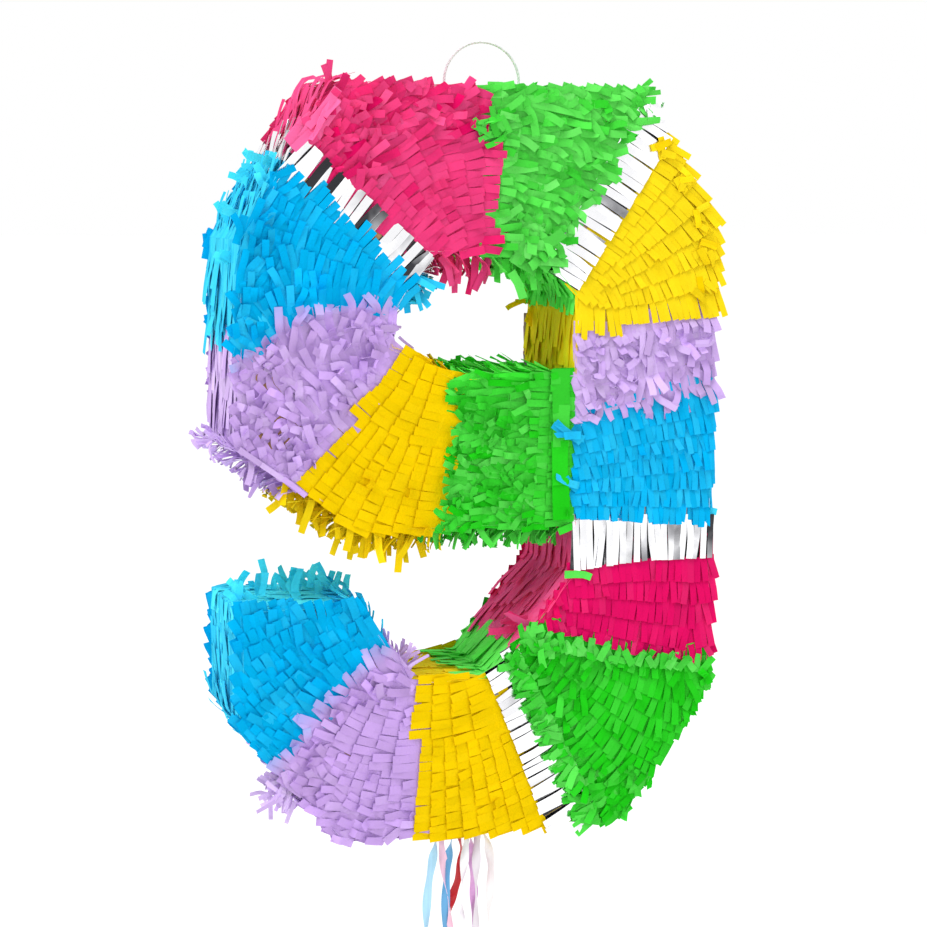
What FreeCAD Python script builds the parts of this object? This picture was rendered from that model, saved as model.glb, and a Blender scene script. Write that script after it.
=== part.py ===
"""A hanging numeral pinata: a cardboard figure nine dressed in tissue fringe and foil.

Frame: +Z is up, +X is to the right of someone facing the numeral, the front looks along -Y.
The origin is the crown of the hanging loop, at mid depth. All sizes are in millimetres.
"""

import FreeCAD, Part
import math
import os

from FreeCAD import Placement, Rotation, Vector

DIMENSIONS = [
    ("overall_height", 419.1, "numeral over its fringe, 16.5 in"),
    ("overall_width", 279.4, "numeral over its fringe, 11 in"),
    ("overall_depth", 88.9, "numeral over its fringe, 3.5 in"),
    ("fringe_depth", 4.0, "tissue fringe standing on the board"),
    ("board_thickness", 3.0, "corrugated board"),
    ("stroke", 88.8, "width of the right stroke and height of the middle bar"),
    ("left_stroke", 89.2, "width of the left stroke"),
    ("crown_bar", 94.7, "height of the top bar"),
    ("hole_height", 63.0, "height of the hole in the bowl"),
    ("base_bar", 93.0, "height of the bottom bar"),
    ("arm_length", 68.8, "top of the short arm, left to right"),
    ("arm_drop", 281.3, "from the top down to the arm"),
    ("notch_left", 100.5, "left edge of the notch floor from the left side"),
    ("notch_right", 145.8, "right edge of the notch floor from the left side"),
    ("notch_shoulder", 271.2, "from the top down to the end of the notch's right wall"),
    ("crown_left_run", 54.7, "top left corner cut, sideways"),
    ("crown_left_drop", 84.0, "top left corner cut, downwards"),
    ("crown_right_run", 49.7, "top right corner cut, sideways"),
    ("crown_right_drop", 75.0, "top right corner cut, downwards"),
    ("foot_right_run", 54.2, "bottom right corner cut, sideways"),
    ("foot_right_rise", 78.7, "bottom right corner cut, upwards"),
    ("foot_left_run", 57.4, "bottom left corner cut, sideways"),
    ("foot_left_rise", 71.8, "bottom left corner cut, upwards"),
    ("bowl_run", 71.2, "cut under the bowl, sideways"),
    ("bowl_rise", 50.0, "cut under the bowl, upwards"),
    ("hole_top_left", 110.6, "left end of the hole's top edge from the left side"),
    ("hole_top_right", 172.1, "right end of the hole's top edge from the left side"),
    ("hole_right_drop", 22.8, "cut at the hole's top right corner, downwards"),
    ("hole_left_drop", 30.7, "slant of the hole's left edge, downwards"),
    ("hole_left_lean", 2.2, "lean of the hole's left edge, sideways"),
    ("hole_left_rise", 16.1, "cut at the hole's bottom left corner, upwards"),
    ("hole_left_run", 33.8, "cut at the hole's bottom left corner, sideways"),
    ("loop_offset", 11.0, "hanging loop, right of the numeral's middle"),
    ("loop_height", 24.0, "crown of the loop above the fringe"),
    ("loop_radius", 22.0, "bend of the loop's crown, to the cord's middle"),
    ("loop_cord", 1.6, "diameter of the loop's cord"),
    ("loop_axis_rise", 1.2, "folding axis of the loop above the fringe"),
    ("cord_clearance", 0.3, "gap between the loop and its tail"),
    ("tail_drop", 16.0, "hidden tail of the loop, below the fringe"),
    ("knot_radius", 3.2, "knot of the loop inside the numeral"),
    ("cord_hole", 2.2, "diameter of the two cord holes"),
    ("patch_width", 64.0, "stiffening patch under the loop, sideways"),
    ("patch_depth", 34.0, "stiffening patch under the loop, front to back"),
    ("door_width", 64.0, "trap door, sideways"),
    ("door_depth", 60.0, "trap door, front to back"),
    ("door_shift", 4.0, "trap door, left of the numeral's middle"),
    ("door_front", 28.0, "free edge of the trap door in front of mid depth"),
    ("flap_width", 56.0, "fill flap in the back, sideways"),
    ("flap_height", 80.0, "fill flap in the back, up and down"),
    ("flap_shift", 95.3, "fill flap, right of the numeral's middle"),
    ("flap_drop", 130.0, "top edge of the fill flap below the numeral's top"),
    ("flap_gap", 0.5, "gap round a flap or door"),
    ("fringe_setback", 8.0, "fringe kept back from a flap's crease"),
    ("fringe_gap", 1.0, "gap in the fringe round a flap or door"),
    ("ribbon_width", 5.0, "curling ribbon"),
    ("ribbon_thickness", 0.4, "curling ribbon"),
    ("ribbon_strip_width", 38.0, "card strip that holds the ribbons"),
    ("ribbon_strip_thickness", 1.5, "card strip that holds the ribbons"),
    ("ribbon_strip_depth", 7.0, "card strip that holds the ribbons"),
    ("ribbon_strip_shift", 10.5, "card strip, left of the numeral's middle"),
    ("ribbon_line", 33.0, "row of loose ribbons in front of mid depth"),
    ("release_line", 24.0, "release ribbon in front of mid depth"),
    ("tab_width", 12.0, "tab under the door that the release ribbon is tied to"),
    ("tab_depth", 6.0, "tab under the door, front to back"),
    ("ribbon_knot", 2.2, "radius of the release ribbon's knot"),
    ("tape_width", 22.0, "paper tape over each joint between wall strips"),
    ("tape_thickness", 0.4, "paper tape over each joint between wall strips"),
]

doc = FreeCAD.newDocument("Pinata")
sheet = doc.addObject("Spreadsheet::Sheet", "sizes")
for row, (alias, value, meaning) in enumerate(DIMENSIONS, start=1):
    sheet.set(f"A{row}", alias)
    sheet.set(f"B{row}", str(value))
    sheet.set(f"C{row}", meaning)
    sheet.setAlias(f"B{row}", alias)
doc.recompute()

subparts = []


def size(alias):
    return float(sheet.get(alias))


# ---------------------------------------------------------------- shared places

half_width = size("overall_width") / 2
half_depth = size("overall_depth") / 2
fringe = size("fringe_depth")
board = size("board_thickness")
board_front = half_depth - fringe
wall_reach = board_front - board
top_z = -size("loop_height")
bottom_z = top_z - size("overall_height")
board_bottom_z = bottom_z + fringe
middle_x = -size("loop_offset")
reach = 15.0


def place(across, below):
    """A point given right of the numeral's middle and below its top."""
    return (middle_x + across, top_z - below)


def outer_corners():
    """The corners of the figure nine over its fringe, clockwise from the top left."""
    height = size("overall_height")
    inner_right = half_width - size("stroke")
    bar_bottom = size("crown_bar") + size("hole_height") + size("stroke")
    notch_floor = height - size("base_bar")
    return [
        place(-half_width + size("crown_left_run"), 0),
        place(half_width - size("crown_right_run"), 0),
        place(half_width, size("crown_right_drop")),
        place(half_width, height - size("foot_right_rise")),
        place(half_width - size("foot_right_run"), height),
        place(-half_width + size("foot_left_run"), height),
        place(-half_width, height - size("foot_left_rise")),
        place(-half_width, size("arm_drop")),
        place(-half_width + size("arm_length"), size("arm_drop")),
        place(-half_width + size("notch_left"), notch_floor),
        place(-half_width + size("notch_right"), notch_floor),
        place(inner_right, size("notch_shoulder")),
        place(inner_right, bar_bottom),
        place(-half_width + size("bowl_run"), bar_bottom),
        place(-half_width, bar_bottom - size("bowl_rise")),
        place(-half_width, size("crown_left_drop")),
    ]


def hole_corners():
    """The corners of the hole in the bowl inside its fringe, anticlockwise from the top left."""
    inner_right = half_width - size("stroke")
    inner_left = -half_width + size("left_stroke")
    top = size("crown_bar")
    bottom = top + size("hole_height")
    return [
        place(-half_width + size("hole_top_left"), top),
        place(inner_left + size("hole_left_lean"), top + size("hole_left_drop")),
        place(inner_left, bottom - size("hole_left_rise")),
        place(inner_left + size("hole_left_run"), bottom),
        place(inner_right, bottom),
        place(inner_right, top + size("hole_right_drop")),
        place(-half_width + size("hole_top_right"), top),
    ]


def inset(corners, distance):
    """Move every side of an outline to its right by a distance, keeping sharp corners."""
    moved = []
    count = len(corners)
    for index in range(count):
        before, here, after = (corners[(index + step) % count] for step in (-1, 0, 1))
        into = unit(before, here)
        out = unit(here, after)
        turn = 1 + into[0] * out[0] + into[1] * out[1]
        shift_x = (into[1] + out[1]) * distance / turn
        shift_z = -(into[0] + out[0]) * distance / turn
        moved.append((here[0] + shift_x, here[1] + shift_z))
    return moved


def unit(start, end):
    length = math.hypot(end[0] - start[0], end[1] - start[1])
    return ((end[0] - start[0]) / length, (end[1] - start[1]) / length)


outer = outer_corners()
hole = hole_corners()
board_outer = inset(outer, fringe)
board_hole = inset(hole, fringe)
cavity_outer = inset(outer, fringe + board)
cavity_hole = inset(hole, fringe + board)


# ---------------------------------------------------------------- small builders


def keep(item, name):
    """Name a finished sub-part; the name becomes its file's name."""
    item.Label = name
    subparts.append(item)
    return item


def prism(corners, front, back):
    """A solid with an outline in the XZ plane, from y = front to y = back."""
    points = [Vector(x, front, z) for x, z in corners]
    face = Part.Face(Part.makePolygon(points + points[:1]))
    return face.extrude(Vector(0, back - front, 0))


def shape_feature(name, shape):
    feature = doc.addObject("Part::Feature", name)
    feature.Shape = shape
    return feature


def box(name, length, width, height, base):
    """A Part::Box whose sides are spreadsheet expressions."""
    item = doc.addObject("Part::Box", name)
    item.setExpression("Length", length)
    item.setExpression("Width", width)
    item.setExpression("Height", height)
    item.Placement = Placement(base, Rotation())
    return item


def cylinder(name, radius, height, base):
    item = doc.addObject("Part::Cylinder", name)
    item.setExpression("Radius", radius)
    item.setExpression("Height", height)
    item.Placement = Placement(base, Rotation())
    return item


def sphere(name, radius, base):
    item = doc.addObject("Part::Sphere", name)
    item.setExpression("Radius", radius)
    item.Placement = Placement(base, Rotation())
    return item


def fuse(name, pieces):
    item = doc.addObject("Part::MultiFuse", name)
    item.Shapes = pieces
    return item


def cut(name, base, tool):
    item = doc.addObject("Part::Cut", name)
    item.Base = base
    item.Tool = tool
    return item


def common(name, base, tool):
    item = doc.addObject("Part::Common", name)
    item.Base = base
    item.Tool = tool
    return item


# ---------------------------------------------------------------- openings cut in the box

door_left = middle_x - size("door_shift") - size("door_width") / 2
door_back = -size("door_front") + size("door_depth")
flap_left = middle_x + size("flap_shift") - size("flap_width") / 2
flap_top = top_z - size("flap_drop")
flap_bottom = flap_top - size("flap_height")
loop_feet = (-size("loop_radius"), size("loop_radius"))


def around(name, lowest, highest):
    """A plain cutting block between two corners."""
    block = doc.addObject("Part::Box", name)
    block.Length = highest.x - lowest.x
    block.Width = highest.y - lowest.y
    block.Height = highest.z - lowest.z
    block.Placement = Placement(lowest, Rotation())
    return block


def door_block(name, gap, front, low, high):
    return around(
        name,
        Vector(door_left - gap, front, low),
        Vector(door_left + size("door_width") + gap, door_back + gap, high),
    )


def flap_block(name, gap, front, back):
    return around(
        name,
        Vector(flap_left - gap, front, flap_bottom - gap),
        Vector(flap_left + size("flap_width") + gap, back, flap_top + gap),
    )


def cord_holes(name, top, depth):
    """The two holes that the loop's tail runs through."""
    holes = []
    for side, foot in zip(("left", "right"), loop_feet):
        hole_item = doc.addObject("Part::Cylinder", f"{name}_{side}")
        hole_item.setExpression("Radius", "sizes.cord_hole / 2")
        hole_item.Height = depth
        hole_item.Placement = Placement(Vector(foot, 0, top - depth), Rotation())
        holes.append(hole_item)
    return fuse(name, holes)


# ---------------------------------------------------------------- cardboard box


def draw_loop(sketch, corners):
    count = len(corners)
    for index in range(count):
        start = Vector(*corners[index], 0)
        end = Vector(*corners[(index + 1) % count], 0)
        sketch.addGeometry(Part.LineSegment(start, end), False)


def panel(name, back_face_y):
    """One face of the box: the outline with its hole, padded forwards by the board."""
    body = doc.addObject("PartDesign::Body", name)
    sketch = body.newObject("Sketcher::SketchObject", f"{name}_outline")
    plane = [item for item in body.Origin.OriginFeatures if item.Role == "XZ_Plane"]
    sketch.AttachmentSupport = [(plane[0], "")]
    sketch.MapMode = "FlatFace"
    draw_loop(sketch, board_outer)
    draw_loop(sketch, board_hole)
    pad = body.newObject("PartDesign::Pad", f"{name}_pad")
    pad.Profile = sketch
    pad.setExpression("Length", "sizes.board_thickness")
    body.Placement = Placement(Vector(0, back_face_y, 0), Rotation())
    doc.recompute()
    return body


def cut_fill_opening(body):
    """The opening in the back panel that the fill flap closes."""
    sketch = body.newObject("Sketcher::SketchObject", "fill_opening_outline")
    plane = [item for item in body.Origin.OriginFeatures if item.Role == "XZ_Plane"]
    sketch.AttachmentSupport = [(plane[0], "")]
    sketch.MapMode = "FlatFace"
    gap = size("flap_gap")
    right = flap_left + size("flap_width") + gap
    left = flap_left - gap
    high = flap_top + gap
    low = flap_bottom - gap
    draw_loop(sketch, [(left, low), (right, low), (right, high), (left, high)])
    before = body.Shape.Volume
    pocket = body.newObject("PartDesign::Pocket", "fill_opening")
    pocket.Profile = sketch
    pocket.Type = "ThroughAll"
    pocket.Midplane = True
    doc.recompute()
    if body.Shape.Volume >= before:
        raise RuntimeError("the fill opening cut nothing")


def wall_strip(name, first, last):
    """A folded strip of board round the edge, from one corner of the outline to another."""
    count = len(board_outer)
    steps = range(first, first + (last - first) % count + 1)
    outside = [board_outer[step % count] for step in steps]
    inside = [cavity_outer[step % count] for step in steps]
    return shape_feature(name, prism(outside + inside[::-1], -wall_reach, wall_reach))


front_panel = keep(panel("front_panel_body", -wall_reach), "front_panel")
back_panel = panel("back_panel_body", board_front)
cut_fill_opening(back_panel)
keep(back_panel, "back_panel")

crown_strip = wall_strip("crown_strip", 15, 2)
crown_holes = cord_holes("crown_holes", top_z + 1, 12)
keep(cut("crown_wall_cut", crown_strip, crown_holes), "crown_wall")

WALL_STRIPS = {
    "right_wall": (2, 4),
    "foot_wall": (5, 7),
    "arm_wall": (7, 9),
    "notch_wall": (9, 12),
    "bowl_wall": (12, 14),
    "left_wall": (14, 15),
}
for wall_name, (first_corner, last_corner) in WALL_STRIPS.items():
    keep(wall_strip(f"{wall_name}_strip", first_corner, last_corner), wall_name)

base_strip = wall_strip("base_strip", 4, 5)
door_opening = door_block(
    "door_opening",
    size("flap_gap"),
    -size("door_front") - size("flap_gap"),
    board_bottom_z - 1,
    board_bottom_z + board + 1,
)
keep(cut("base_wall_cut", base_strip, door_opening), "base_wall")

hole_ring = prism(cavity_hole, -wall_reach, wall_reach)
hole_ring = hole_ring.cut(prism(board_hole, -wall_reach, wall_reach))
keep(shape_feature("hole_ring", hole_ring), "hole_wall")


def corner_tape(corner):
    """Paper tape folded over a joint between two strips, inside the box."""
    count = len(cavity_outer)
    here = cavity_outer[corner]
    before = unit(here, cavity_outer[(corner - 1) % count])
    after = unit(here, cavity_outer[(corner + 1) % count])
    half = size("tape_width") / 2
    start = (here[0] + before[0] * half, here[1] + before[1] * half)
    end = (here[0] + after[0] * half, here[1] + after[1] * half)
    inner = inset([start, here, end], size("tape_thickness"))
    depth = size("tape_thickness")
    inner[0] = (start[0] - before[1] * depth, start[1] + before[0] * depth)
    inner[2] = (end[0] + after[1] * depth, end[1] - after[0] * depth)
    return prism([start, here, end] + inner[::-1], -wall_reach, wall_reach)


strip_joints = [15, 2, 4, 5, 7, 9, 12, 14]
tapes = Part.makeCompound([corner_tape(corner) for corner in strip_joints])
keep(shape_feature("corner_tapes", tapes), "corner_tapes")


# ---------------------------------------------------------------- hanging loop


def build_loop():
    """The loop above the fringe, with round feet that it folds about."""
    axis_z = top_z + size("loop_axis_rise")
    leg = size("loop_height") - size("loop_axis_rise") - size("loop_radius")
    crown = doc.addObject("Part::Torus", "loop_crown")
    crown.setExpression("Radius1", "sizes.loop_radius")
    crown.setExpression("Radius2", "sizes.loop_cord / 2")
    crown.Angle3 = 180
    crown.Placement = Placement(Vector(0, 0, axis_z + leg), Rotation(Vector(1, 0, 0), 90))
    pieces = [crown]
    leg_length = "sizes.loop_height - sizes.loop_axis_rise - sizes.loop_radius"
    for side, foot in zip(("left", "right"), loop_feet):
        base = Vector(foot, 0, axis_z)
        pieces.append(cylinder(f"loop_leg_{side}", "sizes.loop_cord / 2", leg_length, base))
        pieces.append(sphere(f"loop_foot_{side}", "sizes.loop_cord / 2", base))
    return fuse("loop_fused", pieces)


def build_tail():
    """The hidden part of the loop: two legs, the run between them and the knot."""
    high = top_z + size("loop_axis_rise") - size("loop_cord") / 2 - size("cord_clearance")
    low = top_z - size("tail_drop")
    run = doc.addObject("Part::Cylinder", "tail_run")
    run.setExpression("Radius", "sizes.loop_cord / 2")
    run.setExpression("Height", "2 * sizes.loop_radius")
    run.Placement = Placement(Vector(loop_feet[0], 0, low), Rotation(Vector(0, 1, 0), 90))
    pieces = [run, sphere("tail_knot", "sizes.knot_radius", Vector(0, 0, low))]
    for side, foot in zip(("left", "right"), loop_feet):
        leg = doc.addObject("Part::Cylinder", f"tail_leg_{side}")
        leg.setExpression("Radius", "sizes.loop_cord / 2")
        leg.Height = high - low
        leg.Placement = Placement(Vector(foot, 0, low), Rotation())
        pieces.append(leg)
        pieces.append(sphere(f"tail_bend_{side}", "sizes.loop_cord / 2", Vector(foot, 0, low)))
    return fuse("tail_fused", pieces)


keep(build_loop(), "hanging_loop")
keep(build_tail(), "hanger_tail")

patch_top = top_z - fringe - board
patch = box(
    "patch_block",
    "sizes.patch_width",
    "sizes.patch_depth",
    "sizes.board_thickness",
    Vector(-size("patch_width") / 2, -size("patch_depth") / 2, patch_top - board),
)
patch_holes = cord_holes("patch_holes", patch_top + 1, board + 2)
keep(cut("patch_cut", patch, patch_holes), "hanger_patch")


# ---------------------------------------------------------------- fill flap and trap door

keep(
    box(
        "flap_board",
        "sizes.flap_width",
        "sizes.board_thickness",
        "sizes.flap_height",
        Vector(flap_left, wall_reach, flap_bottom),
    ),
    "fill_flap",
)
keep(
    box(
        "flap_fringe",
        "sizes.flap_width",
        "sizes.fringe_depth",
        "sizes.flap_height - sizes.fringe_setback",
        Vector(flap_left, board_front, flap_bottom),
    ),
    "tissue_fill_flap",
)
keep(
    box(
        "door_board",
        "sizes.door_width",
        "sizes.door_depth",
        "sizes.board_thickness",
        Vector(door_left, -size("door_front"), board_bottom_z),
    ),
    "trap_door",
)

tab_x = middle_x + size("ribbon_width") * -1.5
tab_z = board_bottom_z - board
tab_front = -size("release_line") - size("tab_depth") / 2
keep(
    box(
        "tab_block",
        "sizes.tab_width",
        "sizes.tab_depth",
        "sizes.board_thickness",
        Vector(tab_x - size("tab_width") / 2, tab_front, tab_z),
    ),
    "release_tab",
)
door_fringe = box(
    "door_fringe",
    "sizes.door_width",
    "sizes.door_depth - sizes.fringe_setback",
    "sizes.fringe_depth",
    Vector(door_left, -size("door_front"), bottom_z),
)
tab_slot = around(
    "tab_slot",
    Vector(tab_x - size("tab_width") / 2 - 1, -size("door_front") - 1, bottom_z - 1),
    Vector(tab_x + size("tab_width") / 2 + 1, tab_front + size("tab_depth") + 1, board_bottom_z),
)
keep(cut("door_fringe_cut", door_fringe, tab_slot), "tissue_trap_door")


# ---------------------------------------------------------------- tissue and foil sections

fringe_block = prism(outer, -half_depth, half_depth).cut(prism(hole, -half_depth, half_depth))
board_block = prism(board_outer, -board_front, board_front)
board_block = board_block.cut(prism(board_hole, -board_front, board_front))
jacket_solid = shape_feature("jacket_solid", fringe_block.cut(board_block))
jacket_openings = fuse(
    "jacket_openings",
    [
        door_block(
            "fringe_door_opening",
            size("fringe_gap"),
            -wall_reach,
            bottom_z - 1,
            board_bottom_z,
        ),
        flap_block("fringe_flap_opening", size("fringe_gap"), board_front, half_depth + 1),
        cord_holes("fringe_holes", top_z + 1, fringe + 1),
    ],
)
jacket = cut("jacket", jacket_solid, jacket_openings)

# Places right of the numeral's middle and below its top.
inner_right = half_width - size("stroke")
bar_top = size("crown_bar") + size("hole_height")
bar_bottom = bar_top + size("stroke")
notch_floor = size("overall_height") - size("base_bar")
notch_left = -half_width + size("notch_left")
hole_left = -half_width + size("left_stroke")
hole_left_low = bar_top - size("hole_left_rise")
hole_low_left = hole_left + size("hole_left_run")
hole_left_top = -half_width + size("hole_top_left")
hole_right_top = size("crown_bar") + size("hole_right_drop")
past_bottom = size("overall_height") + reach
past_side = half_width + reach
HOLE = (0, 127)
HOLE_CORNER = (inner_right, bar_top)
NOTCH = (-20, 264)
LOW_RIGHT = (past_side, past_bottom)
LOW_LEFT = (-past_side, past_bottom)


def line(*points):
    return [place(across, below) for across, below in points]


# Each seam runs from the hole or the notch out past the numeral's edge.

SEAMS = {
    "pink_green": line((8, size("crown_bar")), (6, 40), (4, -reach)),
    "green_foil": line((41, 105), (93, 21), (108, -4)),
    "foil_yellow": line((inner_right, hole_right_top), (106, 33), (120, 10)),
    "yellow_lavender": line((inner_right, 141), (74, 141), (101, 138), (124, 132), (past_side, 125)),
    "lavender_blue": line((inner_right, 192), (93, 183), (past_side, 168)),
    "blue_foil": line((inner_right, bar_bottom), (past_side, 250.5)),
    "foil_pink": line((inner_right, size("notch_shoulder")), (95, 267), (past_side, 267)),
    "pink_green_low": line((22, 306), (53, 314), (81, 322), (122, 331), (past_side, 325)),
    "green_foil_low": line((14, 316), (60, 406), (75, past_bottom)),
    "foil_yellow_low": line((2, notch_floor), (37, 414), (46, past_bottom)),
    "yellow_lavender_low": line((notch_left, notch_floor), (-41.5, past_bottom)),
    "lavender_blue_low": line((-56, 302), (-86, 325), (-104, 346), (-131, 377), (-past_side, 402)),
    "pink_foil": line((hole_left_top, size("crown_bar")), (-102, 31), (-125, 13)),
    "foil_blue": line((-36.8, 107), (-111, 43), (-130, 27)),
    "blue_lavender": line((-43.7, 118), (-77, 115), (-112, 124), (-half_width, 145), (-past_side, 152)),
    "lavender_yellow": line((hole_left, hole_left_low), (-64, 166), (-105, 213), (-125, 236)),
    "yellow_green": line((hole_low_left, bar_top), (-32, bar_bottom), (-34, bar_bottom + reach)),
    "green_end": line((inner_right, bar_top), (inner_right, bar_bottom)),
}

# Each section: its first seam, points past the edge, its last seam, points in the hole or notch.
SECTIONS = {
    "tissue_pink_top": ("pink_foil", [(-125, -reach)], "pink_green", [HOLE]),
    "tissue_green_top": ("pink_green", [(108, -reach)], "green_foil", [HOLE]),
    "foil_top_right": ("green_foil", [], "foil_yellow", [HOLE]),
    "tissue_yellow_upper_right": ("foil_yellow", [(past_side, 10)], "yellow_lavender", [HOLE]),
    "tissue_lavender_right": ("yellow_lavender", [], "lavender_blue", [HOLE_CORNER, HOLE]),
    "tissue_blue_right": ("lavender_blue", [], "blue_foil", []),
    "foil_right": ("blue_foil", [], "foil_pink", [NOTCH]),
    "tissue_pink_right": ("foil_pink", [], "pink_green_low", [NOTCH]),
    "tissue_green_lower_right": ("pink_green_low", [LOW_RIGHT], "green_foil_low", [NOTCH]),
    "foil_bottom": ("green_foil_low", [], "foil_yellow_low", [NOTCH]),
    "tissue_yellow_bottom": ("foil_yellow_low", [], "yellow_lavender_low", [NOTCH]),
    "tissue_lavender_lower_left": ("yellow_lavender_low", [LOW_LEFT], "lavender_blue_low", [NOTCH]),
    "tissue_blue_arm": ("lavender_blue_low", [(-past_side, 264)], None, [NOTCH]),
    "foil_top_left": ("foil_blue", [], "pink_foil", [HOLE]),
    "tissue_blue_upper_left": ("blue_lavender", [(-past_side, 27)], "foil_blue", [HOLE]),
    "tissue_lavender_left": ("lavender_yellow", [(-past_side, 236)], "blue_lavender", [HOLE]),
    "tissue_yellow_middle": ("yellow_green", [], "lavender_yellow", [HOLE]),
    "tissue_green_middle": ("green_end", [NOTCH], "yellow_green", [HOLE]),
}


def section_outline(first, outside, last, inside):
    points = SEAMS[first] + line(*outside)
    if last:
        points += SEAMS[last][::-1]
    return points + line(*inside)


for section_name, (first, outside, last, inside) in SECTIONS.items():
    corners = section_outline(first, outside, last, inside)
    area = shape_feature(f"{section_name}_area", prism(corners, -half_depth - 1, half_depth + 1))
    keep(common(f"{section_name}_skin", jacket, area), section_name)


# ---------------------------------------------------------------- ribbons

strip_z = board_bottom_z - size("ribbon_strip_thickness")
strip_left = middle_x - size("ribbon_strip_shift") - size("ribbon_strip_width") / 2
keep(
    box(
        "strip_block",
        "sizes.ribbon_strip_width",
        "sizes.ribbon_strip_depth",
        "sizes.ribbon_strip_thickness",
        Vector(strip_left, -size("ribbon_line") - size("ribbon_strip_depth") / 2, strip_z),
    ),
    "ribbon_strip",
)


def rounded_path(points, y):
    """Straight runs joined by tangent arcs as large as the runs allow, in an XZ plane."""
    corners = [Vector(x, y, z) for x, z in points]
    edges = []
    start = corners[0]
    for before, here, after in zip(corners, corners[1:], corners[2:]):
        into = (here - before).normalize()
        out = (after - here).normalize()
        trim = 0.45 * min((here - before).Length, (after - here).Length)
        arc_start = here - into * trim
        arc_end = here + out * trim
        bisector = (out - into).normalize()
        half_turn = into.getAngle(out) / 2
        radius = trim / math.tan(half_turn)
        print(f"bend radius {radius:.0f} mm")
        centre = here + bisector * (radius / math.cos(half_turn))
        middle = centre - bisector * radius
        edges.append(Part.LineSegment(start, arc_start).toShape())
        edges.append(Part.Arc(arc_start, middle, arc_end).toShape())
        start = arc_end
    edges.append(Part.LineSegment(start, corners[-1]).toShape())
    return Part.Wire(edges)


def ribbon(points, y):
    """A flat ribbon facing the front, swept along its path."""
    path = rounded_path(points, y)
    half_w = size("ribbon_width") / 2
    half_t = size("ribbon_thickness") / 2
    top = Vector(points[0][0], y, points[0][1])
    along = Vector(points[1][0] - points[0][0], 0, points[1][1] - points[0][1]).normalize()
    side = along.cross(Vector(0, 1, 0))
    deep = Vector(0, half_t, 0)
    rim = [top + side * half_w + deep, top - side * half_w + deep]
    rim += [top - side * half_w - deep, top + side * half_w - deep]
    profile = Part.makePolygon(rim + rim[:1])
    sweep = Part.BRepOffsetAPI.MakePipeShell(path)
    sweep.setBiNormalMode(Vector(0, 1, 0))
    sweep.add(profile)
    sweep.build()
    sweep.makeSolid()
    solid = sweep.shape()
    expected = size("ribbon_width") * size("ribbon_thickness") * path.Length
    print(f"ribbon length {path.Length:.1f} mm, volume ratio {solid.Volume / expected:.4f}")
    return solid


# Name: its top, right of the numeral's middle and in front of the row, then its drift at each step down.
RIBBONS = {
    "ribbon_sky_blue": (-24.1, 0, [0, -2.4, -3.8, -2.2, 0.6, 2.4], 46),
    "ribbon_pale_pink": (-21.0, -1.4, [0, 1.6, 2.6, 2.0, -1.2, -2.0], 44),
    "ribbon_mid_blue": (-14.7, 0, [0, 1.6, 0.4, -1.6, -2.2, 0.2], 47),
    "ribbon_white": (-5.9, 0, [0, 1.3, 1.4, -0.4, -1.8, -1.2], 43),
    "ribbon_lilac": (-3.5, -1.4, [0, 1.6, 3.6, 4.2, 3.0, 3.6], 45),
    "ribbon_silver": (-0.3, 1.4, [0, -1.0, 1.0, 1.2, -0.8, -0.4], 46),
    "ribbon_ivory": (3.3, 0, [0, 2.6, 4.2, 5.6, 5.2, 7.0], 44),
}
RELEASE_DRIFTS = [0, 1.2, 2.0, 0.2, -1.4, -0.8]
RELEASE_STEP = 45


def ribbon_points(x_top, z_top, drifts, step):
    return [(x_top, z_top)] + [
        (x_top + drift, z_top - step * (index + 1)) for index, drift in enumerate(drifts)
    ]


for ribbon_name, (across, forward, drifts, step) in RIBBONS.items():
    points = ribbon_points(middle_x + across, strip_z, drifts, step)
    ribbon_sweep = ribbon(points, -size("ribbon_line") - forward)
    keep(shape_feature(f"{ribbon_name}_sweep", ribbon_sweep), ribbon_name)

knot_z = tab_z - size("cord_clearance") - size("ribbon_knot")
knot_place = Vector(tab_x, -size("release_line"), knot_z)
keep(sphere("release_knot_ball", "sizes.ribbon_knot", knot_place), "release_knot")
release_top = knot_z - size("ribbon_knot")
release_points = ribbon_points(tab_x, release_top, RELEASE_DRIFTS, RELEASE_STEP)
release_sweep = ribbon(release_points, -size("release_line"))
keep(shape_feature("ribbon_red_sweep", release_sweep), "ribbon_red")


# ---------------------------------------------------------------- checks and files

doc.recompute()
for item in doc.Objects:
    if {"Invalid", "Error"} & set(item.State):
        raise RuntimeError(f"{item.Label} did not build")
for item in subparts:
    if item.Shape.isNull() or not item.Shape.isValid():
        raise RuntimeError(f"{item.Label} has no valid shape")
    print(f"{item.Label}: {len(item.Shape.Solids)} solid, {item.Shape.Volume / 1000:.2f} cm3")

os.makedirs("parts", exist_ok=True)
for item in subparts:
    item.Shape.exportStep(f"parts/{item.Label}.step")
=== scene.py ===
"""Looks of the fringed numeral pinata: paper fringe, foil, board, loop and ribbons."""

import math
from collections import namedtuple

import bpy
import numpy as np
from mathutils import Matrix, Vector
from mathutils.bvhtree import BVHTree


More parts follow.
